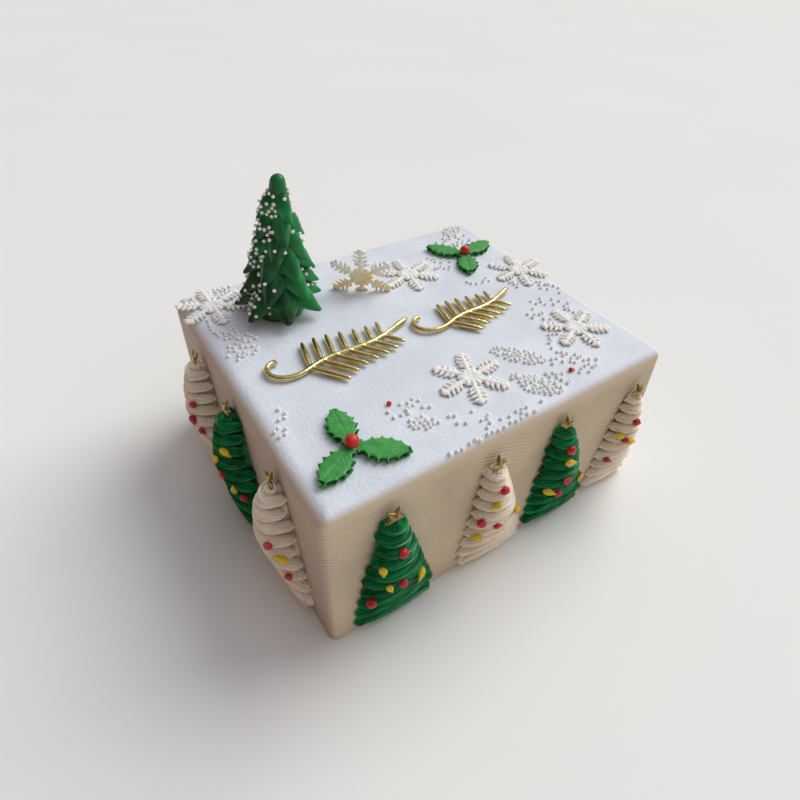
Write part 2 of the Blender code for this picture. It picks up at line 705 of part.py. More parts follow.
def snowflakes(finish):
    """Five flakes lying on the icing and one standing in it."""
    for i, (x, y, turn) in enumerate(LYING_FLAKES):
        place = Matrix.Translation((x * MM, y * MM, TOP)) @ Matrix.Rotation(math.radians(turn), 4, "Z")
        snowflake(f"snowflake_{i + 1}", place, finish)
    upright = Matrix.Rotation(math.radians(90 + STANDING_TILT), 4, "X")
    sixth = Matrix.Rotation(math.radians(90), 4, "Z")
    middle = Matrix.Translation((0, 0, -FLAKE_THICKNESS / 2))
    turned = Matrix.Rotation(math.radians(STANDING_TURN), 4, "Z")
    foot = Matrix.Translation((*(Vector(STANDING_FLAKE) * MM), TOP + STANDING_CENTRE))
    snowflake("snowflake_standing", foot @ turned @ upright @ middle @ sixth, finish, cut_below=TOP)


def sprig_stem(x, y, turn, length, sway, pairs):
    """Middle line of a stem that sways once: points with headings, and whether leaves grow there."""
    turned = Matrix.Rotation(math.radians(turn), 2)
    line = []
    for step in range(2 * pairs + 2):
        share = step / (2 * pairs + 1)
        wave = 2 * math.pi * share
        point = turned @ Vector((length * share, sway * math.sin(wave))) * MM
        heading = math.radians(turn) + math.atan(sway * 2 * math.pi * math.cos(wave) / length)
        line.append((point + Vector((x, y)) * MM, heading, step % 2 == 1 and step < 2 * pairs))
    return line


def sprig_curl(start, heading):
    """The stem's end: it winds back from the start, tighter and tighter."""
    line = []
    point = start.copy()
    for step in range(SPRIG_CURL_STEPS):
        share = (step + 0.5) / SPRIG_CURL_STEPS
        heading -= math.radians(SPRIG_CURL) / SPRIG_CURL_STEPS * (0.5 + share)
        stride = SPRIG_CURL_LENGTH / SPRIG_CURL_STEPS * (1.25 - 0.5 * share)
        point -= Vector((math.cos(heading), math.sin(heading))) * stride
        line.append((point.copy(), heading, False))
    return line[::-1]


def sprig_leaf(root, way, leaf_angle, length, half_width):
    """Outline of a slender leaf, from the near side of its root round its tip to the far side."""
    along = Vector((math.cos(leaf_angle), math.sin(leaf_angle)))
    forward = way - along * way.dot(along)
    across = forward.normalized() * half_width
    foot = way * SPRIG_LEAF_FOOT
    widest = root + along * length * SPRIG_LEAF_WIDEST
    return [root - foot, widest - across, root + along * length, widest + across, root + foot]


def sprig_outline(sprig, width_share):
    """Outline of a sprig: up one side with its leaves, round the end leaf and back."""
    x, y, turn, length, sway, leaf_length, pairs = sprig
    stem = sprig_stem(x, y, turn, length, sway, pairs)
    line = sprig_curl(stem[0][0], stem[0][1]) + stem
    sides = []
    for side, angle in zip((1, -1), SPRIG_LEAF_ANGLES):
        outline = []
        leaf = 0
        for point, heading, leafy in line[:-1]:
            way = Vector((math.cos(heading), math.sin(heading)))
            edge = point + Vector((-way.y, way.x)) * side * SPRIG_STEM_HALF_WIDTH * width_share
            if leafy:
                shrink = SPRIG_LEAF_SHRINK * leaf / (pairs - 1)
                outline += sprig_leaf(edge, way, math.radians(turn + angle), leaf_length * MM * (1 - shrink),
                                      SPRIG_LEAF_HALF_WIDTH * (1 - 0.5 * shrink) * width_share)
                leaf += 1
            else:
                outline.append(edge)
        sides.append(outline)
    end, heading, _ = line[-1]
    way = Vector((math.cos(heading), math.sin(heading)))
    across = Vector((-way.y, way.x)) * SPRIG_LEAF_HALF_WIDTH * width_share
    reach = way * leaf_length * MM * SPRIG_END_LEAF
    widest = end + reach * SPRIG_LEAF_WIDEST
    tip = [widest + across, end + reach, widest - across]
    return sides[0] + tip + sides[1][::-1]


def gold_sprig(name, sprig, finish):
    """A gold sprig lying on the icing, a little narrower on top than at its foot."""
    bm = bmesh.new()
    skin(bm, [[Vector((*point, height)) for point in sprig_outline(sprig, width_share)]
              for height, width_share in ((TOP, 1.0), (TOP + SPRIG_HEIGHT, SPRIG_TOP_WIDTH))])
    add_object(name, bm, finish)


def side_decorations(white, green, gold):
    """Fourteen piped trees round the four sides, white and green in turn, with their stars."""
    number = 0
    for quarter, side in enumerate(("front", "right", "back", "left")):
        trees = FRONT_TREES if quarter % 2 == 0 else SIDE_TREES
        for i, tree in enumerate(trees):
            finish = green if number % 2 == 0 else white
            set_number = number % len(DOT_SETS)
            piped_tree(f"tree_{side}_{i + 1}", tree, quarter, DOT_SETS[set_number], finish)
            gold_star(f"star_{side}_{i + 1}", tree, STAR_TURNS[set_number], quarter, gold)
            number += 1


def build():
    clear_scene()
    gold = material("gold", GOLD, 0.25, metallic=1.0)
    holly_green = material("holly green", HOLLY_GREEN, 0.5)
    berry_red = material("berry red", BERRY_RED, 0.35)
    iced_cake(material("white icing", WHITE_ICING, 0.6))
    side_decorations(material("piped cream", CREAM, 0.55), material("piped green", PIPED_GREEN, 0.4), gold)
    standing_tree(material("standing tree green", FIR_GREEN, 0.4))
    for i, (centre, tips) in enumerate(HOLLY):
        for j, tip in enumerate(tips):
            holly_leaf(f"holly_{i + 1}_leaf_{j + 1}", centre, tip, holly_green)
        berry(f"holly_{i + 1}_berry", centre, berry_red)
    snowflakes(material("sugar paste", IVORY, 0.55))
    for i, sprig in enumerate(SPRIGS):
        gold_sprig(f"gold_sprig_{i + 1}", sprig, gold)


build()
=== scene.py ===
"""New year cake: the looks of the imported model.

Metres, +Z up, in the model's own frame: the cake stands on z = 0, +X runs along its longer side
and -Y is the side with four trees that faces the camera.
"""
import math
import random

import bmesh
import bpy
from mathutils import Matrix, Vector, noise
from mathutils.bvhtree import BVHTree


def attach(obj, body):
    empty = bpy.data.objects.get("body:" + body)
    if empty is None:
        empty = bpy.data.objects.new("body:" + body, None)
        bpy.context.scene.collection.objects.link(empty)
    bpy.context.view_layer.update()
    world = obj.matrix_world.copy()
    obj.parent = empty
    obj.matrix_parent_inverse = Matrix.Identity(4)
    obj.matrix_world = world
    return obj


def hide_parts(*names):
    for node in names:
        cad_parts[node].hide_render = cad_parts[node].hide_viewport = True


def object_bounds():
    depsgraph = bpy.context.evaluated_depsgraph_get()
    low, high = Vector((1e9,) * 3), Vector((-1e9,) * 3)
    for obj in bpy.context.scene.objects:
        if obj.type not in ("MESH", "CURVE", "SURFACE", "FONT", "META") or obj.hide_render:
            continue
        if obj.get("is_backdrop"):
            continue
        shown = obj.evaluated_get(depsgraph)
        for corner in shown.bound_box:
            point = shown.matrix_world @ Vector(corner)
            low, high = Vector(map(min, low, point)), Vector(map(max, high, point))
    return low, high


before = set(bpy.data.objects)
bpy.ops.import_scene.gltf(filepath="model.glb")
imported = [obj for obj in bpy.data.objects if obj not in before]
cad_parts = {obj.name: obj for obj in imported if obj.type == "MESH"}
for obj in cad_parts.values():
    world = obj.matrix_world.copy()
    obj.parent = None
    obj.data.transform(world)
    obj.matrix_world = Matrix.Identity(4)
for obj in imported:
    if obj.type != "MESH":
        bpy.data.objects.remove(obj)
solid_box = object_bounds()
bpy.ops.object.select_all(action="DESELECT")

MM = 0.001

# The iced block
CAKE_LENGTH = 225 * MM
CAKE_WIDTH = 197 * MM
CAKE_HEIGHT = 100 * MM
TOP_EDGE_RADIUS = 5 * MM
SOFT_EDGE_RADIUS = 8 * MM      # the top edge over the left side is rounder
CORNER_RADIUS = 5 * MM
GAP = 0.3 * MM
TOP = CAKE_HEIGHT + GAP
CUTS = (74, 65, 49)            # cuts along the block's length, width and height
COMB_PITCH = 2.5 * MM
COMB_DEPTH = 0.32 * MM
COMB_SWING = 38 * MM           # how far the comb wandered up and down over a side
PAPER_DEPTH = 0.3 * MM         # the grain that the paper left on top
WALL_WAVE = 0.6 * MM           # how far the sides wander in and out, and over what length
WALL_WAVE_LENGTH = 45 * MM
TOP_WAVES = ((0.1 * MM, 9 * MM), (0.2 * MM, 35 * MM))    # the same on top: height and length

# Sugar pearls and red sprinkles, sunk a little in the icing
PEARL_RADIUS = 1.05 * MM
PEARL_SINK = 0.3 * MM
PEARL_SPACING = 2.3 * MM
PEARL_SIZES = (0.9, 1.06)
PEARL_SEED = 31
PEARL_TRIES = 40               # places drawn for each pearl before its cluster counts as full
EDGE_ROOM = 1.5 * MM           # pearls keep this far from the cake's edges
TOPPING_ROOM = 2 * MM          # and from the other toppings
SPRINKLE_RADIUS = 1.4 * MM
SPRINKLES = ((-51, -53), (49, -83))
# Each cluster: middle x, middle y, half length, half width (mm), turn (degrees), pearls
PEARL_CLUSTERS = (
    (-45, -60, 13, 8, -25, 14),
    (-44, -73, 8, 4, -25, 16),
    (-22, -82, 16, 5, -35, 9),
    (33, -57, 16, 6, -50, 48),
    (24, -81, 15, 6.5, -52, 56),
    (40, -84, 9, 5, -35, 9),
    (57, -80, 15, 9, -40, 22),
    (0, -94, 22, 3, 0, 11),
    (62, -60, 14, 6, 60, 10),
    (84, -34, 20, 15, -40, 22),
    (100, -8, 16, 5, -60, 10),
    (73, 12, 20, 7, -40, 12),
    (74, 62, 30, 17, 35, 34),
    (95, 90, 10, 6, 35, 22),
    (10, 68, 16, 10, 0, 14),
    (-86, 88, 18, 8, -10, 46),
    (-97, 56, 16, 8, 90, 36),
    (-95, 30, 12, 9, 60, 26),
    (-102, -36, 10, 4, 70, 9),
    (-20, -96.2, 25, 1, 0, 12),
)

# Piped trees, flat against the sides
TREE_FOOT = 2 * MM
TREE_TIP_HALF_WIDTH = 5.5 * MM
TREE_TAPER = 0.95
WIDEST_HEIGHT = 14 * MM
FOOT_TUCK = 2.5 * MM           # how far a tree's sides draw in from its widest height down to its foot
FULL_SHARE = 0.6               # share of its height at which a tree is thickest
TIP_BEND = 0.46 * math.pi      # how far round the thickness curves from there to the tip
TIP_FULLNESS = 0.3
# Each tree: foot and tip along the side, height of the tip, half width, thickness and thickness at
# the foot (mm)
FRONT_TREES = (
    (-76.5, -79, 83, 25.2, 13, 5),
    (-10, -18, 80.5, 24.5, 13, 5),
    (41, 30.5, 83, 25, 13, 5),
    (90, 92, 78, 22, 12, 5),
)
SIDE_TREES = (
    (-52, -49, 86, 24, 16, 8.5),
    (-3, 1, 86, 24, 16.5, 9.5),
    (56, 57, 86, 24.5, 16.5, 5.5),
)
ROPE_STROKES = 19              # the icing runs to and fro this many times
ROPE_STEPS = 20                # points on each stroke
ROPE_TOP = 3.5 * MM            # how far below the tree's tip the rope starts
ROPE_FOOT = 6 * MM
ROPE_THIN = 2.4 * MM           # half the rope's thickness at the tip and at the foot
ROPE_THICK = 3.3 * MM
ROPE_SAG = 5.5 * MM
ROPE_REACH = (0.93, 1.03)      # how far out a stroke turns, as a share of the tree's half width
ROPE_PRESS = (-0.7, 0.5)       # how far a stroke is pressed in or stands out (mm)
ROPE_CROWDING = 1.1            # above 1 the strokes lie closer together near the tip
ROPE_SWING = 2.4               # a stroke is nearly straight, and turns quickly at its ends
ROPE_TURN = 0.96
ROPE_EDGE = 0.7                # shares of the rope's half thickness: what stays inside the tree's edge
ROPE_LEAST = 0.35              # and how far its middle is off the cake at least
ROPE_HUG = 0.98                # share of a stroke's way across at which the tree's thickness is read
ROPE_SAG_EASE = 0.6            # how much of the sag the lowest strokes lose
# The last squeeze at the tip: height over the tip and half thickness (mm), share of the thickness
KISS = ((-8, 1.8, 0.45), (-5.5, 2.9, 0.4), (-3, 3.3, 0.34), (-0.8, 2.7, 0.28), (0.5, 1.3, 0.24))
BACKING_INSET = 5 * MM         # icing behind the rope: how far inside the tree's outline
BACKING_SHARE = 0.66           # and its share of the tree's thickness
BACKING_TOP = 3 * MM           # how far below the tip it ends
BACKING_SINK = 0.2 * MM
BACKING_CUTS = 11
NOZZLE_TEETH = 12
NOZZLE_NOTCH = 0.66            # groove radius against tooth radius
PIPING_SEED = 12
# Sugar dots on a tree: place across (-1 to 1), height in mm, colour and the way of the tail (degrees
# down from the tree's right). The seven sets go round twice. The reds of the first set are rolled
# balls, and those of the others piped drops.
DOT_SETS = (
    ((-0.02, 67, "red", 0), (-0.82, 31, "red", 0), (-0.04, 42, "red", 0),
     (-0.8, 57, "yellow", 85), (-0.48, 43, "yellow", 70), (0.66, 35, "yellow", 175)),
    ((-0.04, 69, "red", 40), (-0.86, 46, "red", -80), (-0.28, 41, "red", 5),
     (-0.46, 60, "yellow", 165), (0.72, 42, "yellow", 25), (-0.78, 33, "yellow", 190)),
    ((-0.2, 71, "red", 60), (-0.14, 45, "red", -140), (-0.3, 33, "red", 100),
     (-0.24, 62, "yellow", 10), (0.86, 32, "yellow", -120), (-0.74, 38, "yellow", 15)),
    ((-0.18, 61, "red", 30), (-0.78, 31, "red", 20), (-0.5, 48, "red", 170),
     (-0.84, 51, "yellow", 190), (-0.14, 45, "yellow", 15)),
    ((0.66, 62, "red", -60), (0.44, 50, "red", 80), (0.64, 42, "red", 30), (-0.86, 56, "yellow", 90)),
    ((0.46, 49, "red", -100), (0.88, 34, "red", 60),
     (0.78, 67, "yellow", 40), (0.3, 60, "yellow", 100), (0.7, 39, "yellow", -90)),
    ((-0.88, 56, "red", -90), (-0.86, 29, "red", 60), (0.7, 56, "red", -80), (0.86, 34, "red", 70),
     (-0.88, 46, "yellow", 90), (-0.8, 20, "yellow", 20), (0.9, 47, "yellow", -150)),
)
BALL_RADIUS = 2.7 * MM
BALL_FLATNESS = 0.9
# A drop and a dab: radius, length against width, and how far the tail is drawn
RED_DROP = (2.5 * MM, 1.0, 1.9 * MM)
YELLOW_DAB = (2.3 * MM, 1.35, 1.9 * MM)
DOT_FLATNESS = 0.75            # how far a drop or dab stands out against its width
TAIL_THINNING = (0.7, 0.75)    # shares of its thickness and width that a tail loses
TAIL_LIFT = 0.5 * MM
DOT_HUG = 0.93                 # share of a dot's way across at which the tree's thickness is read
DOT_INSET = 1.0 * MM           # dots keep this far inside the tree's edge
DOT_STAND_OFF = 0.3 * MM
DOT_TURN = 0.9                 # radians by which a dot at the tree's edge is turned aside
DOT_SIZES = (0.8, 1.12)

# Gold stars on the tips of the piped trees
STAR_RADIUS = 5.8 * MM
STAR_INNER_SHARE = 0.448
STAR_THICKNESS = 1.2 * MM
STAR_PEAK = 1.2 * MM
STAR_RISE = 2.2 * MM           # middle of the star above the tree's tip: its lower part is pushed in
STAR_STAND_OFF = 3.6 * MM
STAR_LEAN = 14                 # degrees
STAR_BEVEL = 0.35 * MM
STAR_TURNS = (36, -8, 4, 14, -20, 9, 2)    # degrees, round twice as the dots

# The standing tree: a core with snipped, pointed leaves
FIR_PLACE = (-62 * MM, 54 * MM)
FIR_HEIGHT = 83 * MM
FIR_CORE_RADIUS = 14 * MM
FIR_CAP_RADIUS = 4.3 * MM
FIR_FOOT_RADIUS = 25 * MM
FIR_LEAN = 8 * MM
TIER_TURN = 0.35               # radians from one tier to the next
FIR_LEAF_THICKNESS = 1.7 * MM
FIR_LEAF_TUCK = 1.0 * MM       # how far a leaf's root lies in the core
FIR_LEAF_ROOT = 0.62           # width of the root against the leaf's widest part
FIR_LEAF_WIDEST = 0.5          # share of its length at which it is widest
FIR_LEAF_POINT = 0.55          # share of its length that tapers to the tip, and how roundly
FIR_LEAF_ROUNDNESS = 0.85
FIR_LEAF_BOW = 0.07            # against its length: how far its middle bows out, and its tip turns up
FIR_LEAF_FLICK = 0.24
FIR_LEAF_RIDGE = 0.30          # against its half width: how high its middle is, and how low its edges
FIR_LEAF_DROOP = 0.55
FIR_LEAF_RELIEF = 0.8          # how strongly all of that stands out
# Each tier: height of the tips, height of the roots, reach of the tips, leaf width (mm), leaves
FIR_TIERS = (
    (3, 21, 22.5, 15, 7),
    (14, 33, 19, 14, 6),
    (25, 44, 16, 12.5, 6),
    (35, 53, 13, 11, 5),
    (46, 62, 10.5, 9.5, 4),
    (58, 73, 8, 8, 3),
)
FIR_PEARLS = 240
FIR_PEARL_SEED = 8
FIR_PEARL_TRIES = 20           # places drawn for each pearl
FIR_PEARL_SIZES = (0.9, 1.05)
FIR_PEARL_HEIGHTS = (0.05, 0.9)
FIR_RIGHT_WAY = (0.8, -0.6, 0)     # to the right of the photograph, where there are fewer pearls
FIR_PEARL_LEAST = 0.3          # how many there are on the right against the left
FIR_BARE_WAY = (0.15, -0.99, 0)    # the way in which the leaves carry the fewest
FIR_BARENESS = 0.8             # share of the pearls missing there
FIR_BARE_RANGE = (0.55, 0.95)  # nearness to that way at which the bare part begins and is full
FIR_CREST = (1.5 * MM, 6 * MM)     # distance from the core at which a leaf begins to stand out, and does
FIR_CREST_LOSS = 0.8           # share of the pearls missing from what stands out, less so on the left
FIR_CREST_KEPT = 0.8
FIR_OUTSIDE = 60 * MM          # pearls are dropped on the tree from this far off its axis

# Holly: three leaves and a berry
HOLLY_THICKNESS = 3.2 * MM
HOLLY_DOME = 0.5 * MM
HOLLY_HALF_WIDTH = 8.2 * MM
HOLLY_SPIKES = 6
HOLLY_SCALLOP = 2.5 * MM
HOLLY_TIP_SCALLOP = 0.5        # how much shallower the scallops are towards the tip
HOLLY_TIP_BITE = 0.8 * MM      # the scallop at a leaf's blunt tip, and where along it the tip begins
HOLLY_TIP = 0.84
HOLLY_ARCH = (0.09, 0.86)      # the outline follows an arch from this share of it, for this share
HOLLY_FULLNESS = 0.7
HOLLY_FIRST_SPIKE = 0.05       # share of the length at the lowest spikes
HOLLY_LEAST_HALF = 0.25 * MM
HOLLY_STEPS = 12               # steps along a leaf from one spike to the next
HOLLY_CELLS = 28               # cells across a leaf
HOLLY_MIDRIB = (0.2 * MM, 0.55 * MM)    # depth and half width
HOLLY_VEIN_DEPTH = 0.16 * MM
HOLLY_VEIN_PITCH = 2.6 * MM
HOLLY_VEIN_SLANT = 0.9         # how steeply the side veins run to the tip
HOLLY_VEIN_SHARPNESS = 6
HOLLY_EDGE = 0.86              # share of the way across at which the edge begins to round off
HOLLY_EDGE_DROP = 0.3 * MM
BERRY_RADIUS = 3.6 * MM
BERRY_CLEAR = 2.6 * MM         # distance from the berry's middle to the leaves' roots
BERRY_FLATNESS = 0.94
BERRY_LUMPS = (0.04, 4 * MM)   # height against the radius, and size
# Berry place, then the three leaf tips, in mm
HOLLY = (
    ((-81.3, -69.9), ((-77.8, -44.4), (-60.6, -86.5), (-102.7, -82.1))),
    ((77.5, 51.2), ((60.8, 73.5), (104.4, 58.4), (65.2, 29.2))),
)

# Snowflakes
FLAKE_ARMS = 6
FLAKE_RADIUS = 21.5 * MM
FLAKE_ARM_HALF_WIDTH = 4.6 * MM
FLAKE_THICKNESS = 2.2 * MM
# The rounded petals that it is moulded from: length, half width and height (mm)
FLAKE_RIB = (20, 1.5, 2.4)
FLAKE_TIP = (4.2, 2.2, 2.2)
FLAKE_HUB = (15, 7.5, 2.0)
FLAKE_PETAL = (6.0, 1.2, 2.6)
FLAKE_BARB = (2.5, 1.05, 2.1)  # a barb is longer than this by its spread
# Where they lie, in mm from the middle
FLAKE_RIB_PLACE = 11
FLAKE_TIP_PLACE = 19.6
FLAKE_PETAL_PLACES = (4.2, 5.0)
FLAKE_BARB_START = 9.6
FLAKE_BARB_PITCH = 3.0
FLAKE_BARB_SPREADS = (2.3, 2.8, 2.6, 2.1)    # how far the barbs lie aside from the rib
FLAKE_BARB_ANGLE = 62          # degrees
# Place in mm and turn in degrees
LYING_FLAKES = ((-3, -58.5, 8), (82, -55, 25), (99, 16.6, 10), (-95.5, 77, 30), (28, 50, 20))
STANDING_FLAKE = (-9, 48)
STANDING_TURN = -35
STANDING_TILT = 10
STANDING_CENTRE = 10.5 * MM
STANDING_ROOM = 6 * MM
FLAKE_VOXEL = 0.42 * MM
SOFTENING = (0.5, 4)           # how much and how often a moulded piece's skin is smoothed

# Gold sprigs
SPRIG_HEIGHT = 4 * MM
SPRIG_STEM_HALF_WIDTH = 1.5 * MM
SPRIG_LEAF_HALF_WIDTH = 1.9 * MM
SPRIG_LEAF_ANGLES = (68, -62)  # degrees from the stem, to its left and to its right
SPRIG_LEAF_SHRINK = 0.42       # share of its length that the last leaf lacks
SPRIG_LEAF_SLIMMING = 0.5      # and how much of that it lacks in width
SPRIG_END_LEAF = 0.7           # the leaf at the stem's end against the first ones
SPRIG_CURL = 210               # degrees
SPRIG_CURL_LENGTH = 34 * MM
SPRIG_CURL_STEPS = 10
SPRIG_VOXEL = 0.36 * MM
# A leaf's outline: share of its length, share of its half width
SPRIG_LEAF_OUTLINE = ((0.0, 0.6), (0.12, 0.72), (0.28, 0.9), (0.45, 1.0), (0.66, 0.95), (0.84, 0.8),
                      (0.95, 0.55), (1.0, 0.3))
# Each sprig: stem start x and y, turn (degrees), stem length, sway, leaf length (mm), leaf pairs
SPRIGS = (
    (-76, -10, 9, 60, 2.0, 22, 7),
    (14, -14, 11, 49, 1.5, 19, 6),
)

# The camera, placed where the photograph was taken from
CAMERA_PLACE = Vector((-164.3, -234.1, 298.8)) * MM
CAMERA_AZIMUTH = -38.63        # degrees, as the two that follow
CAMERA_ELEVATION = 38.58
CAMERA_ROLL = 4.45
FOCAL_PIXELS = 574.3
IMAGE_SIDE = 800
PRINCIPAL_POINT = (441.1, 363.3)
CLIP_START = 0.01

# The studio: a soft sun from the right, and a sky that is cool overhead, warm low down, and dim and
# warm on the left, behind a pale backdrop that gives no light
FLOOR_SIZE = 14
FLOOR_GAP = 0.2 * MM
SUN_FROM = (0.9, 0.12, 0.85)
SUN_STRENGTH = 2.0
SUN_ANGLE = 45                 # degrees across: wide, so that shadows are soft
SUN_COLOUR = "#FFFDF8"
LOW_SKY = "#B98A5A"
HIGH_SKY = "#E8EFFF"
LOW_BAND = (0.15, 0.75)        # heights between which the low colour turns into the high one
DIM_SKY = "#D29A6C"
DIM_SIDE = (-0.97, 0.1, 0.0)
DIM_BAND = (0.1, 0.8)          # how far towards the dim side its colour sets in and is full
FADE_BAND = (-0.7, 0.7)        # and between where the sky gets dimmer
SKY_STRENGTH = 0.68
BRIGHT_SHARE = 1.28            # share of the strength on the bright side, and on the dim side
DIM_SHARE = 0.42
BACKDROP = "#E2E1DF"


def linear(hex_colour):
    """A colour as the shaders take it, from its sRGB hex value."""
    channels = [int(hex_colour[i:i + 2], 16) / 255 for i in (1, 3, 5)]
    return (*[c / 12.92 if c <= 0.04045 else ((c + 0.055) / 1.055) ** 2.4 for c in channels], 1.0)


def add_node(tree, kind, inputs=None, **settings):
    """Add a node with its settings; an input is given a value, or another node's output to link."""
    node = tree.nodes.new(kind)
    for name, value in settings.items():
        setattr(node, name, value)
    for name, value in (inputs or {}).items():
        if isinstance(value, bpy.types.NodeSocket):
            tree.links.new(value, node.inputs[name])
        else:
            node.inputs[name].default_value = value
    return node


def new_finish(name, **values):
    """A new material with its shader's own values, and the shader to link patterns to."""
    finish = bpy.data.materials.new(name)
    finish.use_nodes = True
    shader = finish.node_tree.nodes["Principled BSDF"]
    for socket, value in values.items():
        shader.inputs[socket.replace("_", " ")].default_value = value
    return finish, finish.node_tree, shader


def pattern(tree, size, detail=2.0, stretch=(1, 1, 1)):
    """Noise with features of a real size in metres, in the piece's own coordinates."""
    place = add_node(tree, "ShaderNodeTexCoord")
    scaled = add_node(tree, "ShaderNodeMapping", {"Vector": place.outputs["Object"], "Scale": stretch})
    return add_node(tree, "ShaderNodeTexNoise",
                    {"Vector": scaled.outputs[0], "Scale": 1 / size, "Detail": detail}).outputs["Fac"]


def own_axes(tree):
    """The place on the piece, as X, Y and Z in metres."""
    place = add_node(tree, "ShaderNodeTexCoord").outputs["Object"]
    return add_node(tree, "ShaderNodeSeparateXYZ", {"Vector": place}).outputs


def turning(tree, first, second, along, start, end):
    """A colour that turns smoothly into another along an axis."""
    share = add_node(tree, "ShaderNodeMapRange", {"Value": along, "From Min": start, "From Max": end},
                     interpolation_type="SMOOTHSTEP")
    return add_node(tree, "ShaderNodeMix", {"Factor": share.outputs[0], 6: first, 7: second},
                    data_type="RGBA").outputs[2]


def faded(tree, height, along, start, end, low=0.0, high=1.0):
    """Relief that goes smoothly from one share of its height to another along an axis or a pattern."""
    share = add_node(tree, "ShaderNodeMapRange",
                     {"Value": along, "From Min": start, "From Max": end, "To Min": low, "To Max": high},
                     interpolation_type="SMOOTHSTEP")
    return add_node(tree, "ShaderNodeMath", {0: height, 1: share.outputs[0]}, operation="MULTIPLY").outputs[0]


def growing_patches(tree, size, along, start, end, most):
    """Patches of a real size that grow along an axis."""
    growth = add_node(tree, "ShaderNodeMapRange",
                      {"Value": along, "From Min": start, "From Max": end, "To Max": most},
                      interpolation_type="SMOOTHSTEP")
    return add_node(tree, "ShaderNodeMath", {0: pattern(tree, size), 1: growth.outputs[0]},
                    operation="ADD").outputs[0]


def tinted(tree, shader, patches, low, high, start=0.35, end=0.65):
    """Colour the shader by patches, from a low colour to a high one."""
    share = add_node(tree, "ShaderNodeMapRange", {"Value": patches, "From Min": start, "From Max": end})
    tint = add_node(tree, "ShaderNodeMix", {"Factor": share.outputs[0], 6: linear(low), 7: linear(high)},
                    data_type="RGBA").outputs[2]
    tree.links.new(tint, shader.inputs["Base Color"])
    return tint


def embossed(tree, shader, *reliefs):
    """Give the shader reliefs of real depths in metres, each one laid over those before it."""
    normal = None
    for height, depth in reliefs:
        inputs = {"Height": height, "Distance": depth, "Strength": 1.0}
        if normal:
            inputs["Normal"] = normal
        normal = add_node(tree, "ShaderNodeBump", inputs).outputs[0]
    tree.links.new(normal, shader.inputs["Normal"])


def mottled(name, patch, low, high, grain, depth, **values):
    """A material with patches of two colours and a fine grain, both of real sizes."""
    finish, tree, shader = new_finish(name, **values)
    tinted(tree, shader, pattern(tree, patch), low, high)
    embossed(tree, shader, (pattern(tree, grain), depth))
    return finish


def white_buttercream():
    """Whipped white buttercream, matt: combed in wavy lines on the sides and pressed with paper on top."""
    finish, tree, shader = new_finish("white buttercream", Roughness=0.62, IOR=1.45, Subsurface_Weight=0.08,
                                      Subsurface_Radius=(1.0, 0.85, 0.7), Subsurface_Scale=1.5 * MM)
    axes = own_axes(tree)
    left_side = -CAKE_LENGTH / 2
    # Cool white on top as painted light; tan on the sides, partly the cream's own colour and partly painted
    # shade, greyer on the left as painted shade
    side = add_node(tree, "ShaderNodeMapRange",
                    {"Value": axes["Z"], "From Min": 99.6 * MM, "From Max": 96 * MM},
                    interpolation_type="SMOOTHSTEP").outputs[0]
    cool_lit_tone = tinted(tree, shader, pattern(tree, 22 * MM), "#DDE5EE", "#E7EEF6")
    # The greyer left side is painted shade, on the side that faces away from the light
    shaded_side_tan = turning(tree, linear("#DCCDB1"), linear("#C3B0A0"), axes["X"], left_side + 3 * MM, left_side)
    colour = add_node(tree, "ShaderNodeMix", {"Factor": side, 6: cool_lit_tone, 7: shaded_side_tan}, data_type="RGBA")
    tree.links.new(colour.outputs[2], shader.inputs["Base Color"])
    # Comb lines: shallow at the foot, none at the top edge, fainter on the left side and in places
    swing = pattern(tree, 55 * MM, 1.0, (1, 1, 0.3))
    line = add_node(tree, "ShaderNodeMath", {0: swing, 1: COMB_SWING, 2: axes["Z"]}, operation="MULTIPLY_ADD")
    angle = add_node(tree, "ShaderNodeMath", {0: line.outputs[0], 1: 2 * math.pi / COMB_PITCH},
                     operation="MULTIPLY")
    comb = add_node(tree, "ShaderNodeMath", {0: angle.outputs[0]}, operation="SINE").outputs[0]
    comb = faded(tree, comb, axes["Z"], 15 * MM, 70 * MM, 0.3)
    comb = faded(tree, comb, axes["Z"], 95 * MM, 88 * MM)
    comb = faded(tree, comb, axes["X"], left_side, left_side + 2 * MM, 0.25)
    comb = faded(tree, comb, pattern(tree, 35 * MM), 0.3, 0.6, 0.35)
    # The paper's grain: faint on the sides, and weaker towards the right
    grain = pattern(tree, 1.5 * MM, 3.0, (1, 0.75, 1))
    grain = faded(tree, grain, side, 0.0, 1.0, 1.0, 0.2)
    grain = faded(tree, grain, axes["X"], -60 * MM, 80 * MM, 1.0, 0.45)
    crumb = pattern(tree, 0.7 * MM, 1.0)
    embossed(tree, shader, (comb, COMB_DEPTH), (grain, PAPER_DEPTH), (crumb, 0.04 * MM))
    return finish


def piped_cream():
    """Piped ivory buttercream: soft satin, a little see-through at thin edges."""
    return mottled("piped cream", 9 * MM, "#F5E8D2", "#FDF6E8", 0.9 * MM, 0.06 * MM, Roughness=0.45,
                   IOR=1.45, Subsurface_Weight=0.15, Subsurface_Radius=(1.0, 0.8, 0.6),
                   Subsurface_Scale=2 * MM)


def piped_green():
    """Piped buttercream in deep green: a fat, satin surface with wet-looking crests."""
    return mottled("piped green", 8 * MM, "#08693B", "#109655", 0.9 * MM, 0.05 * MM, Roughness=0.27,
                   IOR=1.44)


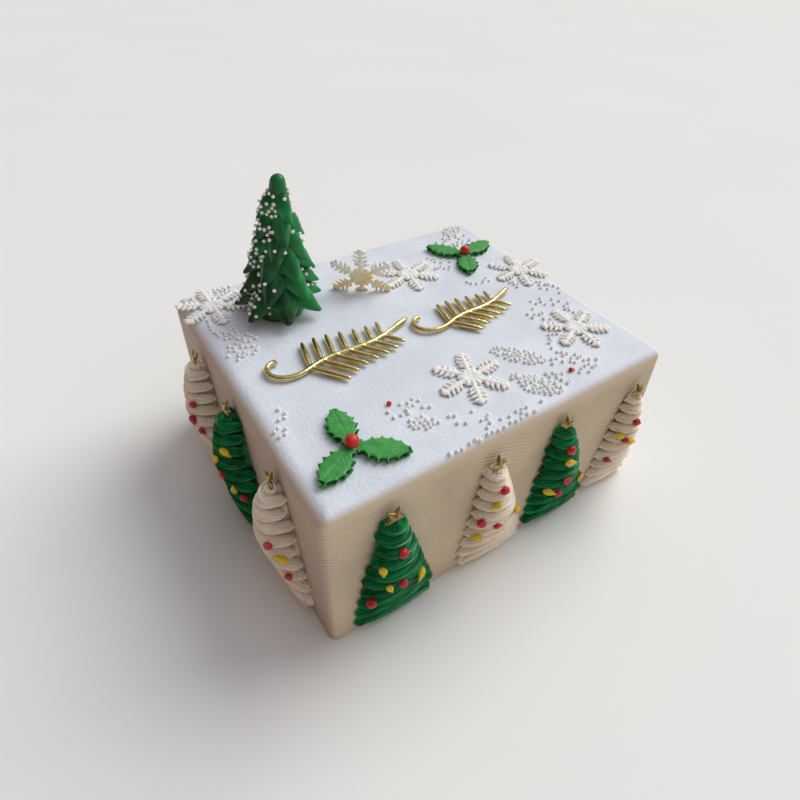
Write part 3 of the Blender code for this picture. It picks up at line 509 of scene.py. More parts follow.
def fir_paste():
    """Green sugar paste, rolled and snipped: a satin sheen, unevenly kneaded, and darker on the left as
    painted shade.
    """
    finish, tree, shader = new_finish("green sugar paste", Roughness=0.34, IOR=1.42)
    # Patches of uneven kneading, with painted shade that darkens the left side
    kneaded_and_painted_shade = growing_patches(tree, 12 * MM, own_axes(tree)["X"], FIR_PLACE[0] - 18 * MM,
                              FIR_PLACE[0] + 18 * MM, 0.6)
    tinted(tree, shader, kneaded_and_painted_shade, "#073F20", "#158746", 0.5, 1.05)
    embossed(tree, shader, (pattern(tree, 2.5 * MM), 0.08 * MM))
    return finish


def holly_paste():
    """Bright green sugar paste cut with a cutter: matt, with fine pressed veins along the leaf."""
    return mottled("holly sugar paste", 5 * MM, "#2F8F3C", "#46A64B", 0.7 * MM, 0.05 * MM, Roughness=0.5,
                   IOR=1.45)


def berry_paste():
    """Red sugar paste rolled into a ball: smooth, with a broad soft highlight."""
    return mottled("red sugar paste", 4 * MM, "#C4231F", "#DA3A32", 1.2 * MM, 0.05 * MM, Roughness=0.36,
                   IOR=1.46)


def red_icing():
    """Deep red royal icing, piped in drops: glossy as it sets."""
    return mottled("red icing", 3 * MM, "#AE181E", "#CC2C30", 0.9 * MM, 0.04 * MM, Roughness=0.32,
                   IOR=1.46)


def yellow_icing():
    """Yellow royal icing, piped in drops: glossy as it sets."""
    return mottled("yellow icing", 3 * MM, "#D9B80F", "#EBD02A", 0.9 * MM, 0.04 * MM, Roughness=0.34,
                   IOR=1.46)


def moulded_paste(name, low, high, foot_height, crown_height):
    """Sugar paste pressed in a mould: matt, lit from within, in patches of tone, with painted shade that
    makes it creamy low down and whiter on its crests.
    """
    finish, tree, shader = new_finish(name, Roughness=0.6, IOR=1.45, Subsurface_Weight=0.6,
                                      Subsurface_Radius=(1.0, 0.9, 0.75), Subsurface_Scale=3 * MM)
    # Patches of tone, and painted shade: creamy low down, whiter higher up
    tone_and_painted_shade = growing_patches(tree, 12 * MM, own_axes(tree)["Z"], foot_height, crown_height, 0.8)
    tinted(tree, shader, tone_and_painted_shade, low, high, 0.5, 1.1)
    embossed(tree, shader, (pattern(tree, 0.5 * MM), 0.05 * MM))
    return finish


def pearl_sugar():
    """Hard sugar pearls with a polished shell, a little see-through."""
    finish, tree, shader = new_finish("sugar pearl", Roughness=0.28, IOR=1.5, Subsurface_Weight=0.5,
                                      Subsurface_Radius=(1.0, 0.95, 0.85), Subsurface_Scale=1.5 * MM)
    tinted(tree, shader, pattern(tree, 2 * MM, 1.0), "#F7F9F0", "#FDFFF8")
    return finish


def gold_plastic():
    """Vacuum-metallised plastic, pale gold: mirror-like, with a faint waviness from the mould."""
    return mottled("metallised gold", 6 * MM, "#D2BE78", "#E6D79C", 3 * MM, 0.08 * MM, Metallic=1.0,
                   Roughness=0.2)


def bronze_gold_and_painted_reflection():
    """Stars stamped from metallised card: a deeper, browner gold, partly its own colour and partly painted
    dark reflection, with a soft mirror.
    """
    # The darker base colour is partly painted reflection of dark surroundings
    return mottled("stamped bronze gold, painted dark reflection", 4 * MM, "#8F7B4C", "#B8A26C", 2 * MM, 0.06 * MM, Metallic=1.0,
                   Roughness=0.24)


def plain_floor():
    """Matt studio paper, pale grey."""
    finish, tree, shader = new_finish("studio paper", Roughness=0.9)
    tinted(tree, shader, pattern(tree, 400 * MM), "#F3F5F2", "#F5F7F4")
    return finish


def named(name):
    """The piece just added, under its name."""
    piece = bpy.context.object
    piece.name = name
    piece.data.name = name
    return piece


def select_only(*pieces):
    """Select these pieces and no others, with the first one active."""
    bpy.ops.object.select_all(action="DESELECT")
    for piece in pieces:
        piece.select_set(True)
    bpy.context.view_layer.objects.active = pieces[0]


def settle(piece):
    """Put the piece's place, turn and scale in its mesh."""
    select_only(piece)
    bpy.ops.object.transform_apply(location=True, rotation=True, scale=True)


def reshape(piece, rule):
    """Move every point of a piece by a rule."""
    for vertex in piece.data.vertices:
        vertex.co = rule(vertex.co)
    piece.data.update()


def shaped(name, rule):
    """The piece just added, under its name and reshaped by a rule."""
    piece = named(name)
    reshape(piece, rule)
    return piece


def modify(piece, kind, **settings):
    """Add a modifier with its settings and apply it."""
    select_only(piece)
    modifier = piece.modifiers.new(kind.lower(), kind)
    for name, value in settings.items():
        setattr(modifier, name, value)
    bpy.ops.object.modifier_apply(modifier=modifier.name)


def fuse(piece, voxel):
    """Fuse what overlaps in a piece under one soft skin."""
    factor, iterations = SOFTENING
    modify(piece, "REMESH", mode="VOXEL", voxel_size=voxel)
    modify(piece, "SMOOTH", factor=factor, iterations=iterations)


def smooth(piece, angle=None):
    """Shade the piece smooth, keeping edges sharper than an angle in degrees."""
    select_only(piece)
    if angle is None:
        bpy.ops.object.shade_smooth()
    else:
        bpy.ops.object.shade_smooth_by_angle(angle=math.radians(angle))


def copy_of(piece, name, place):
    """A copy with its own mesh, put in place by a matrix."""
    twin = piece.copy()
    twin.data = piece.data.copy()
    twin.name = name
    twin.data.name = name
    twin.data.transform(place)
    bpy.context.scene.collection.objects.link(twin)
    return twin


def joined(name, pieces):
    """Several pieces as one."""
    select_only(*pieces)
    bpy.ops.object.join()
    return named(name)


def discard(piece):
    """Remove a template once its copies are made."""
    bpy.data.objects.remove(piece)


def strewn(name, template, places):
    """One smooth piece made of many copies of a small shape, which is used up."""
    bm = bmesh.new()
    for place in places:
        grain = template.data.copy()
        grain.transform(place)
        bm.from_mesh(grain)
        bpy.data.meshes.remove(grain)
    mesh = bpy.data.meshes.new(name)
    bm.to_mesh(mesh)
    bm.free()
    piece = bpy.data.objects.new(name, mesh)
    bpy.context.scene.collection.objects.link(piece)
    discard(template)
    smooth(piece)
    return piece


def dress(piece, finish, slot, *nodes):
    """Give a finished piece its material and hide the solids that it stands for; the slot is not used."""
    piece.data.materials.clear()
    piece.data.materials.append(finish)
    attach(piece, "root")
    if nodes:
        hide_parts(*nodes)


def turn_by(degrees, axis="Z"):
    """A turn about an axis, as a matrix."""
    return Matrix.Rotation(math.radians(degrees), 4, axis)


def eased(value, low, high):
    """0 below low, 1 above high and a smooth step between."""
    share = max(0.0, min(1.0, (value - low) / (high - low)))
    return share * share * (3 - 2 * share)


def edge_radius(outward):
    """Radius of the top edge, rounder where the side looks along -X."""
    return TOP_EDGE_RADIUS + (SOFT_EDGE_RADIUS - TOP_EDGE_RADIUS) * max(0.0, -outward.x) ** 2


def finer_ends(share):
    """Spread points between -1 and 1 so that they lie closer together near both ends."""
    return share + 0.5 * math.sin(math.pi * share) / math.pi


def plan_place(x, y):
    """Bring a point in the square plan into the plan with round corners; its outward way and depth inside."""
    spare = Vector((max(abs(x) - (CAKE_LENGTH / 2 - CORNER_RADIUS), 0.0),
                    max(abs(y) - (CAKE_WIDTH / 2 - CORNER_RADIUS), 0.0)))
    if spare.x > 0 and spare.y > 0:
        rounded = spare * (max(spare) / spare.length)
        outward = Vector((math.copysign(rounded.x, x), math.copysign(rounded.y, y), 0)).normalized()
        x = math.copysign(CAKE_LENGTH / 2 - CORNER_RADIUS + rounded.x, x)
        y = math.copysign(CAKE_WIDTH / 2 - CORNER_RADIUS + rounded.y, y)
        return x, y, outward, CORNER_RADIUS - rounded.length
    inside_x = CAKE_LENGTH / 2 - abs(x)
    inside_y = CAKE_WIDTH / 2 - abs(y)
    if inside_x < inside_y:
        return x, y, Vector((math.copysign(1, x), 0, 0)), inside_x
    return x, y, Vector((0, math.copysign(1, y), 0)), inside_y


def iced_point(point):
    """Where a point of the plain block goes: round edges, and faces smoothed by hand."""
    x = CAKE_LENGTH / 2 * finer_ends(2 * point.x / CAKE_LENGTH)
    y = CAKE_WIDTH / 2 * finer_ends(2 * point.y / CAKE_WIDTH)
    x, y, outward, inside = plan_place(x, y)
    z = CAKE_HEIGHT / 2 * (1 + finer_ends(2 * point.z / CAKE_HEIGHT - 1))
    radius = edge_radius(outward)
    near = max(radius - inside, 0.0)
    above = max(z - (CAKE_HEIGHT - radius), 0.0)
    place = Vector((x, y, z))
    if near > 0 and above > 0:
        shrink = radius / math.hypot(near, above)
        place -= outward * near * (1 - shrink)
        place.z = CAKE_HEIGHT - radius + above * shrink
    place += outward * WALL_WAVE * noise.noise(place / WALL_WAVE_LENGTH) * eased(z, 0, 10 * MM)
    if inside > 0 and z > CAKE_HEIGHT / 2:
        relief = sum(height * noise.noise(place / length) for height, length in TOP_WAVES)
        place.z += relief * eased(inside, 0, 6 * MM)
    return place


def iced_block():
    """The block of icing: a cube cut into rows and columns, then rounded."""
    bpy.ops.mesh.primitive_cube_add(size=1, location=(0, 0, CAKE_HEIGHT / 2),
                                    scale=(CAKE_LENGTH, CAKE_WIDTH, CAKE_HEIGHT))
    block = named("iced_block")
    settle(block)
    bpy.ops.object.mode_set(mode="EDIT")
    bpy.ops.mesh.select_mode(type="EDGE")
    for axis, cuts in enumerate(CUTS):
        bpy.ops.mesh.select_all(action="DESELECT")
        bm = bmesh.from_edit_mesh(block.data)
        for edge in bm.edges:
            way = edge.verts[1].co - edge.verts[0].co
            edge.select_set(abs(way[axis]) > 0.99 * way.length)
        bmesh.update_edit_mesh(block.data)
        bpy.ops.mesh.subdivide(number_cuts=cuts)
    bpy.ops.object.mode_set(mode="OBJECT")
    reshape(block, iced_point)
    smooth(block, 60)
    return block


def icing_height(x, y):
    """Height of the icing at a place on top, lower on the rounded edges."""
    height = CAKE_HEIGHT
    edges = ((-x, CAKE_LENGTH, SOFT_EDGE_RADIUS), (x, CAKE_LENGTH, TOP_EDGE_RADIUS),
             (-y, CAKE_WIDTH, TOP_EDGE_RADIUS), (y, CAKE_WIDTH, TOP_EDGE_RADIUS))
    for place, side, radius in edges:
        past = place - (side / 2 - radius)
        if past > 0:
            height -= radius - math.sqrt(max(radius * radius - past * past, 0.0))
    return height


def distance_to_line(place, start, end):
    """Distance on the top from a place to a straight stretch."""
    along = end - start
    share = max(0.0, min(1.0, (place - start).dot(along) / along.length_squared))
    return (place - start - along * share).length


def level_way(degrees):
    """A level direction, one long."""
    return Vector((math.cos(math.radians(degrees)), math.sin(math.radians(degrees))))


def topping_stretches():
    """Stretches of the top that toppings cover, each with the room they need on either side."""
    for centre, tips in HOLLY:
        for tip in tips:
            yield Vector(centre) * MM, Vector(tip) * MM, HOLLY_HALF_WIDTH + TOPPING_ROOM
    for x, y, turn in LYING_FLAKES:
        centre = Vector((x, y)) * MM
        for arm in range(FLAKE_ARMS):
            reach = level_way(turn + 360 / FLAKE_ARMS * arm) * FLAKE_RADIUS
            yield centre, centre + reach, FLAKE_ARM_HALF_WIDTH + TOPPING_ROOM
    foot = Vector(STANDING_FLAKE) * MM
    reach = level_way(STANDING_TURN) * FLAKE_RADIUS
    yield foot - reach, foot + reach, STANDING_ROOM
    fir = Vector(FIR_PLACE)
    yield fir, fir + Vector((MM, 0)), FIR_FOOT_RADIUS + TOPPING_ROOM
    for x, y, turn, length, sway, leaf_length, pairs in SPRIGS:
        stem = sprig_stem(x, y, turn, length, sway, pairs)
        yield stem[0][0], stem[-1][0], leaf_length * MM + TOPPING_ROOM


def pearl_places():
    """Places of the pearls: loose clusters, no two touching, clear of the other toppings."""
    draw = random.Random(PEARL_SEED)
    stretches = list(topping_stretches())
    places = [Vector(spot) * MM for spot in SPRINKLES]
    limit_x = CAKE_LENGTH / 2 - EDGE_ROOM
    limit_y = CAKE_WIDTH / 2 - EDGE_ROOM
    for x, y, along, across, turn, count in PEARL_CLUSTERS:
        turn = math.radians(turn)
        wanted = len(places) + count
        for _ in range(PEARL_TRIES * count):
            reach = math.sqrt(draw.random())
            angle = draw.uniform(0, 2 * math.pi)
            u = along * reach * math.cos(angle)
            v = across * reach * math.sin(angle)
            place = Vector((x + u * math.cos(turn) - v * math.sin(turn),
                            y + u * math.sin(turn) + v * math.cos(turn))) * MM
            if abs(place.x) > limit_x or abs(place.y) > limit_y:
                continue
            if any((place - other).length < PEARL_SPACING for other in places):
                continue
            if any(distance_to_line(place, start, end) < room for start, end, room in stretches):
                continue
            places.append(place)
            if len(places) == wanted:
                break
    return places[len(SPRINKLES):]


def small_ball(radius):
    """A small ball to strew."""
    bpy.ops.mesh.primitive_ico_sphere_add(subdivisions=2, radius=radius)
    return named("small_ball")


def strewn_pearls(fir):
    """All the pearls: the clusters on the icing and those caught in the standing tree."""
    draw = random.Random(PEARL_SEED + 1)
    places = []
    for place in pearl_places():
        size = draw.uniform(*PEARL_SIZES)
        height = icing_height(place.x, place.y) + PEARL_RADIUS * size - PEARL_SINK
        places.append(Matrix.Translation((place.x, place.y, height)) @ Matrix.Scale(size, 4))
    places += fir_pearl_places(fir)
    return strewn("sugar_pearls", small_ball(PEARL_RADIUS), places)


def strewn_sprinkles():
    """The two red sugar balls on the icing."""
    height = CAKE_HEIGHT + SPRINKLE_RADIUS - PEARL_SINK
    places = [Matrix.Translation((x * MM, y * MM, height)) for x, y in SPRINKLES]
    return strewn("red_sprinkles", small_ball(SPRINKLE_RADIUS), places)


def tree_half_width(z, top, half_width):
    """Half width at a height: drawn in a little at the foot, tapering to the tip."""
    if z < WIDEST_HEIGHT:
        return half_width - FOOT_TUCK * ((WIDEST_HEIGHT - z) / (WIDEST_HEIGHT - TREE_FOOT)) ** 2
    share = max(0.0, (top - z) / (top - WIDEST_HEIGHT))
    return TREE_TIP_HALF_WIDTH + (half_width - TREE_TIP_HALF_WIDTH) * share ** TREE_TAPER


def tree_thickness(z, top, thickness, foot_thickness):
    """Thickness on the middle line: straight from the foot to the fullest height, then rounding off."""
    full = FULL_SHARE * top
    if z < full:
        return foot_thickness + (thickness - foot_thickness) * z / full
    return thickness * math.cos(TIP_BEND * (z - full) / (top - full)) ** TIP_FULLNESS


def across_profile(u):
    """Share of the thickness at a place across the tree."""
    return math.sqrt(max(1 - abs(u) ** 2.5, 0.0))


def side_matrix(quarter):
    """Turns a piece made for the front side to another side: 0 front, 1 right, 2 back, 3 left."""
    out = CAKE_WIDTH / 2 if quarter % 2 == 0 else CAKE_LENGTH / 2
    return Matrix.Rotation(math.pi / 2 * quarter, 4, "Z") @ Matrix.Translation((0, -out, 0))


def in_metres(tree):
    """A tree's measures, given in mm, as metres."""
    return [value * MM for value in tree]


def nozzle_opening():
    """The piping nozzle's opening: a circle with every other point drawn in."""
    bpy.ops.curve.primitive_bezier_circle_add(radius=1)
    opening = named("nozzle")
    bpy.ops.object.mode_set(mode="EDIT")
    bpy.ops.curve.subdivide(number_cuts=2 * NOZZLE_TEETH // 4 - 1)
    bpy.ops.curve.spline_type_set(type="POLY")
    bpy.ops.object.mode_set(mode="OBJECT")
    for i, point in enumerate(opening.data.splines[0].points):
        if i % 2:
            point.co.xyz *= NOZZLE_NOTCH
    return opening


def rope_route(tree, draw):
    """The nozzle's way down a tree: to and fro in drooping strokes, and the rope's half thickness."""
    foot, tip, top, half_width, *thickness = in_metres(tree)
    route = []
    reach = [draw.uniform(*ROPE_REACH) for _ in range(ROPE_STROKES + 1)]
    press = [draw.uniform(*ROPE_PRESS) * MM for _ in range(ROPE_STROKES + 2)]
    for step in range(ROPE_STROKES * ROPE_STEPS + 1):
        stroke = step / ROPE_STEPS
        down = (stroke / ROPE_STROKES) ** ROPE_CROWDING
        z = top - ROPE_TOP + (ROPE_FOOT - top + ROPE_TOP) * down
        half_rope = ROPE_THIN + (ROPE_THICK - ROPE_THIN) * down
        swing = ROPE_SWING / math.pi * math.asin(ROPE_TURN * math.sin(math.pi * (stroke - 0.5)))
        swing = max(-1.0, min(1.0, swing * reach[round(stroke)]))
        half = tree_half_width(z, top, half_width) - ROPE_EDGE * half_rope
        thick = tree_thickness(z, top, *thickness) * across_profile(ROPE_HUG * swing)
        early = stroke - int(stroke)
        pressed = press[int(stroke)] * (1 - early) + press[int(stroke) + 1] * early
        out = max(thick - half_rope, ROPE_LEAST * half_rope) + pressed
        sag = ROPE_SAG * swing * swing * down * (1 - ROPE_SAG_EASE * down)
        route.append((Vector((foot + (tip - foot) * z / top + half * swing, -out, z - sag)), half_rope))
    return route


def kiss_route(tree):
    """The last squeeze at the tip of a tree, pulled up to a point under the star."""
    _, tip, top, _, thickness, _ = in_metres(tree)
    return [(Vector((tip, -out * thickness, top + z * MM)), half * MM) for z, half, out in KISS]


def drawn(name, routes, **settings):
    """A mesh drawn along routes of places, each with its thickness, by a curve with its settings."""
    bpy.ops.curve.primitive_nurbs_path_add()
    curve = named(name)
    curve.data.splines.clear()
    for route in routes:
        spline = curve.data.splines.new("POLY")
        spline.points.add(len(route) - 1)
        for point, (place, radius) in zip(spline.points, route):
            point.co = (*place, 1)
            point.radius = radius
    for setting, value in settings.items():
        setattr(curve.data, setting, value)
    curve.data.use_fill_caps = True
    select_only(curve)
    bpy.ops.object.convert(target="MESH")
    return bpy.context.object


def rope_backing(name, tree):
    """Icing behind the rope, so that no gap shows between its strokes."""
    foot, tip, top, half_width, *thickness = in_metres(tree)
    bpy.ops.mesh.primitive_cube_add(size=2)
    bpy.ops.object.mode_set(mode="EDIT")
    bpy.ops.mesh.subdivide(number_cuts=BACKING_CUTS)
    bpy.ops.object.mode_set(mode="OBJECT")

    def rule(point):
        z = TREE_FOOT + (top - BACKING_TOP - TREE_FOOT) * (point.z + 1) / 2
        half = tree_half_width(z, top, half_width) - BACKING_INSET
        thick = BACKING_SHARE * tree_thickness(z, top, *thickness) * across_profile(point.x)
        along = foot + (tip - foot) * z / top + half * point.x
        return Vector((along, -thick * (1 - point.y) / 2 + BACKING_SINK, z))

    return shaped(name, rule)


def piped_tree(name, tree, quarter, opening, draw):
    """A piped tree on one side of the cake."""
    rope = drawn(name + "_rope", [rope_route(tree, draw), kiss_route(tree)], twist_mode="MINIMUM",
                 bevel_mode="OBJECT", bevel_object=opening)
    made = joined(name, [rope, rope_backing(name + "_backing", tree)])
    made.data.transform(side_matrix(quarter))
    smooth(made, 50)
    return made


def sugar_ball():
    """A rolled red ball, pressed on so that it is a little flat."""
    bpy.ops.mesh.primitive_uv_sphere_add(segments=20, ring_count=12, radius=BALL_RADIUS)
    ball = named("sugar_ball")
    bpy.ops.transform.resize(value=(1, BALL_FLATNESS, 1))
    settle(ball)
    return ball


def sugar_dab(name, radius, stretch, tail):
    """A piped dab of icing, its tail drawn aside along the tree."""
    bpy.ops.mesh.primitive_uv_sphere_add(segments=20, ring_count=14, radius=radius)

    def rule(point):
        pull = max(point.x / radius, 0.0) ** 2
        out = point.y * DOT_FLATNESS * (1 - TAIL_THINNING[0] * pull) - TAIL_LIFT * pull
        return Vector((point.x * stretch + tail * pull, out, point.z * (1 - TAIL_THINNING[1] * pull)))

    return shaped(name, rule)


def dot_matrix(u, height, tree, quarter, turn, size):
    """Where a dot sits on its tree: against the icing, turned in the plane of the side."""
    foot, tip, top, half_width, *thickness = in_metres(tree)
    z = height * MM
    thick = tree_thickness(z, top, *thickness) * across_profile(u * DOT_HUG)
    along = foot + (tip - foot) * z / top + (tree_half_width(z, top, half_width) - DOT_INSET) * u
    aside = Matrix.Rotation(DOT_TURN * u, 4, "Z")
    return (side_matrix(quarter) @ Matrix.Translation((along, -thick - DOT_STAND_OFF, z)) @ aside
            @ turn_by(turn, "Y") @ Matrix.Scale(size, 4))


def star_shape():
    """A five-pointed star with a raised middle, standing in the plane y = 0."""
    bpy.ops.mesh.primitive_circle_add(vertices=10, radius=STAR_RADIUS, fill_type="NGON")
    star = named("star_shape")
    bpy.ops.object.mode_set(mode="EDIT")
    bpy.ops.mesh.select_mode(type="VERT")
    bpy.ops.mesh.select_all(action="DESELECT")
    bm = bmesh.from_edit_mesh(star.data)
    for i, vertex in enumerate(bm.verts):
        vertex.select_set(i % 2 == 1)
    bmesh.update_edit_mesh(star.data)
    bpy.ops.transform.resize(value=(STAR_INNER_SHARE, STAR_INNER_SHARE, 1))
    bpy.ops.mesh.select_all(action="SELECT")
    bpy.ops.mesh.extrude_region_move(TRANSFORM_OT_translate={"value": (0, 0, STAR_THICKNESS)})
    bpy.ops.mesh.select_mode(type="FACE")
    bpy.ops.mesh.poke(offset=STAR_PEAK)
    bpy.ops.mesh.select_all(action="SELECT")
    bpy.ops.mesh.normals_make_consistent(inside=False)
    bpy.ops.object.mode_set(mode="OBJECT")
    modify(star, "BEVEL", width=STAR_BEVEL, segments=2, limit_method="ANGLE", angle_limit=math.radians(35))
    star.data.transform(turn_by(90, "X"))
    smooth(star, 30)
    return star


def star_matrix(tree, turn, quarter):
    """Where a star sits: on the tip of its tree, leaning back and turned a little."""
    place = Matrix.Translation((tree[1] * MM, -STAR_STAND_OFF - GAP, tree[2] * MM + STAR_RISE))
    return side_matrix(quarter) @ place @ turn_by(-STAR_LEAN, "X") @ turn_by(-turn, "Y")


def fir_core_radius(height):
    """Radius of the core: nearly a cone, with a rounded cap."""
    cap_start = FIR_HEIGHT - FIR_CAP_RADIUS
    if height > cap_start:
        return math.sqrt(max(FIR_CAP_RADIUS ** 2 - (height - cap_start) ** 2, 0.0))
    return FIR_CAP_RADIUS + (FIR_CORE_RADIUS - FIR_CAP_RADIUS) * (1 - height / cap_start)


def fir_core():
    """The rolled cone under the leaves, with its rounded cap."""
    bpy.ops.mesh.primitive_uv_sphere_add(segments=32, ring_count=28, radius=1)

    def rule(point):
        height = FIR_HEIGHT * (1 + point.z) / 2
        around = Vector((point.x, point.y))
        if around.length > 1e-6:
            around = around.normalized() * fir_core_radius(min(height, FIR_HEIGHT * 0.9999))
        return Vector((*around, height))

    return shaped("fir_core", rule)


def fir_leaf_shape():
    """One snipped leaf, one long and one wide: from its root at the origin to its tip at x = 1."""
    bpy.ops.mesh.primitive_grid_add(x_subdivisions=9, y_subdivisions=6, size=2)

    def rule(point):
        share = (point.x + 1) / 2
        side = point.y
        opened = math.sin(math.pi / 2 * min(share / FIR_LEAF_WIDEST, 1.0))
        taper = min(1.0, (1 - share) / FIR_LEAF_POINT) ** FIR_LEAF_ROUNDNESS
        half = 0.5 * (FIR_LEAF_ROOT + (1 - FIR_LEAF_ROOT) * opened) * taper
        bow = FIR_LEAF_BOW * math.sin(math.pi * share) + FIR_LEAF_FLICK * share ** 4
        ridge = FIR_LEAF_RIDGE * half * (1 - abs(side)) ** 1.2
        droop = FIR_LEAF_DROOP * half * side * side
        return Vector((share, half * side, bow + ridge - droop))

    return shaped("fir_leaf", rule)


def fir_leaf_matrix(angle, tip, root, reach, width):
    """Lays the leaf's own axes along its way down, across and out."""
    outward = Vector((math.cos(angle), math.sin(angle), 0))
    start = outward * (fir_core_radius(root * MM) - FIR_LEAF_TUCK) + Vector((0, 0, root * MM))
    end = outward * reach * MM + Vector((0, 0, tip * MM))
    along = end - start
    across = Vector((-math.sin(angle), math.cos(angle), 0)) * width * MM
    up = across.cross(along).normalized()
    if up.dot(outward) < 0:
        up = -up
        across = -across
    up *= along.length * FIR_LEAF_RELIEF
    return Matrix.Translation(start) @ Matrix((along, across, up)).transposed().to_4x4()


def fir_lean(height):
    """How far the standing tree leans along +X at a height."""
    return FIR_LEAN * height / FIR_HEIGHT


def standing_fir():
    """The standing tree: its core and six tiers of leaves, leaning a little."""
    template = fir_leaf_shape()
    leaves = []
    for tier, (tip, root, reach, width, count) in enumerate(FIR_TIERS):
        for i in range(count):
            angle = 2 * math.pi * (i + 0.5 * (tier % 2)) / count + TIER_TURN * tier
            leaves.append(copy_of(template, "fir_leaf", fir_leaf_matrix(angle, tip, root, reach, width)))
    discard(template)
    foliage = joined("fir_foliage", leaves)
    modify(foliage, "SOLIDIFY", thickness=FIR_LEAF_THICKNESS, offset=-1)
    fir = joined("standing_fir", [foliage, fir_core()])
    modify(fir, "SUBSURF", levels=1, render_levels=1)

    def rule(point):
        foot = Vector((*FIR_PLACE, CAKE_HEIGHT))
        return foot + Vector((point.x + fir_lean(point.z), point.y, max(point.z, 0.0)))

    reshape(fir, rule)
    smooth(fir, 70)
    return fir


def fir_pearl_places(fir):
    """Pearls caught on the standing tree, most of them on the left and between the leaves."""
    draw = random.Random(FIR_PEARL_SEED)
    select_only(fir)
    surface = BVHTree.FromObject(fir, bpy.context.evaluated_depsgraph_get())
    centre = Vector((*FIR_PLACE, CAKE_HEIGHT))
    middle = []
    places = []
    for _ in range(FIR_PEARL_TRIES * FIR_PEARLS):
        height = FIR_HEIGHT * draw.uniform(*FIR_PEARL_HEIGHTS)
        angle = draw.uniform(0, 2 * math.pi)
        chance = draw.random()
        outward = Vector((math.cos(angle), math.sin(angle), 0))
        axis = centre + Vector((fir_lean(height), 0, height))
        hit, normal, _, _ = surface.ray_cast(axis + outward * FIR_OUTSIDE, -outward)
        leftness = 0.5 - 0.5 * outward.dot(Vector(FIR_RIGHT_WAY))
        bareness = FIR_BARENESS * eased(outward.dot(Vector(FIR_BARE_WAY)), *FIR_BARE_RANGE)
        stands_out = eased((hit - axis).length - fir_core_radius(height), *FIR_CREST)
        hollow = 1 - FIR_CREST_LOSS * stands_out * (1 - FIR_CREST_KEPT * leftness)
        if chance > (FIR_PEARL_LEAST + (1 - FIR_PEARL_LEAST) * leftness) * (1 - bareness) * hollow:
            continue
        spot = hit + normal * (PEARL_RADIUS - PEARL_SINK)
        if any((spot - other).length < PEARL_SPACING for other in middle):
            continue
        middle.append(spot)
        places.append(Matrix.Translation(spot) @ Matrix.Scale(draw.uniform(*FIR_PEARL_SIZES), 4))
        if len(places) == FIR_PEARLS:
            break
    return places


def holly_half_width(share):
    """Half width of a leaf along its length, from root 0 to tip 1, spikes included."""
    start, span = HOLLY_ARCH
    return HOLLY_HALF_WIDTH * math.sin(math.pi * (start + span * share)) ** HOLLY_FULLNESS


def holly_shares():
    """Stations along a leaf, each with how far its edge is scalloped in."""
    spikes = [HOLLY_FIRST_SPIKE + (1 - HOLLY_FIRST_SPIKE) * i / (HOLLY_SPIKES - 1)
              for i in range(HOLLY_SPIKES)]
    stations = [(0.0, 0.0)]
    for start, end in zip(spikes, spikes[1:]):
        for step in range(HOLLY_STEPS):
            place = start + (end - start) * step / HOLLY_STEPS
            depth = HOLLY_SCALLOP * (1 - HOLLY_TIP_SCALLOP * place ** 2)
            stations.append((place, depth * math.sin(math.pi * step / HOLLY_STEPS) ** 0.5))
    stations.append((1.0, 0.0))
    return stations


def holly_leaf(name, centre, tip):
    """A holly leaf: scalloped edges, a low crown, a pressed midrib and side veins."""
    centre = Vector(centre) * MM
    tip = Vector(tip) * MM
    way = (tip - centre).normalized()
    side = Vector((-way.y, way.x))
    root = centre + way * BERRY_CLEAR
    length = (tip - root).length
    stations = holly_shares()
    bpy.ops.mesh.primitive_grid_add(x_subdivisions=len(stations) - 1, y_subdivisions=HOLLY_CELLS, size=2)

    def rule(point):
        share, scallop = stations[round((point.x + 1) / 2 * (len(stations) - 1))]
        half = max(holly_half_width(share) - scallop, HOLLY_LEAST_HALF)
        across = point.y * half
        bite = HOLLY_TIP_BITE * eased(share, HOLLY_TIP, 1.0) * (1 - point.y ** 2)
        place = root + way * (length * share - bite) + side * across
        crown = HOLLY_DOME * (1 - (across / HOLLY_HALF_WIDTH) ** 2)
        midrib = HOLLY_MIDRIB[0] * math.exp(-(across / HOLLY_MIDRIB[1]) ** 2)
        phase = 2 * math.pi * (share * length - HOLLY_VEIN_SLANT * abs(across)) / HOLLY_VEIN_PITCH
        vein = HOLLY_VEIN_DEPTH * (0.5 + 0.5 * math.cos(phase)) ** HOLLY_VEIN_SHARPNESS
        edge = HOLLY_EDGE_DROP * eased(abs(point.y), HOLLY_EDGE, 1.0)
        height = HOLLY_THICKNESS + crown - midrib - vein * (1 - abs(point.y)) - edge
        return Vector((place.x, place.y, TOP + height))

    leaf = shaped(name, rule)
    modify(leaf, "SOLIDIFY", thickness=HOLLY_THICKNESS + GAP, offset=-1)
    reshape(leaf, lambda point: Vector((point.x, point.y, max(point.z, CAKE_HEIGHT))))
    smooth(leaf, 40)
    return leaf


def holly_berry(name, centre):
    """A red berry, a little flat and uneven, resting on the leaves."""
    seat = math.sqrt(BERRY_RADIUS ** 2 - BERRY_CLEAR ** 2)
    height = TOP + HOLLY_THICKNESS + seat
    middle = Vector((centre[0] * MM, centre[1] * MM, 0))
    lump, lump_size = BERRY_LUMPS
    bpy.ops.mesh.primitive_uv_sphere_add(segments=32, ring_count=20, radius=BERRY_RADIUS)

    def rule(point):
        uneven = 1 + lump * noise.noise(point / lump_size)
        return middle + Vector((point.x * uneven, point.y * uneven,
                                point.z * BERRY_FLATNESS * uneven + height))

    berry = shaped(name, rule)
    smooth(berry)
    return berry


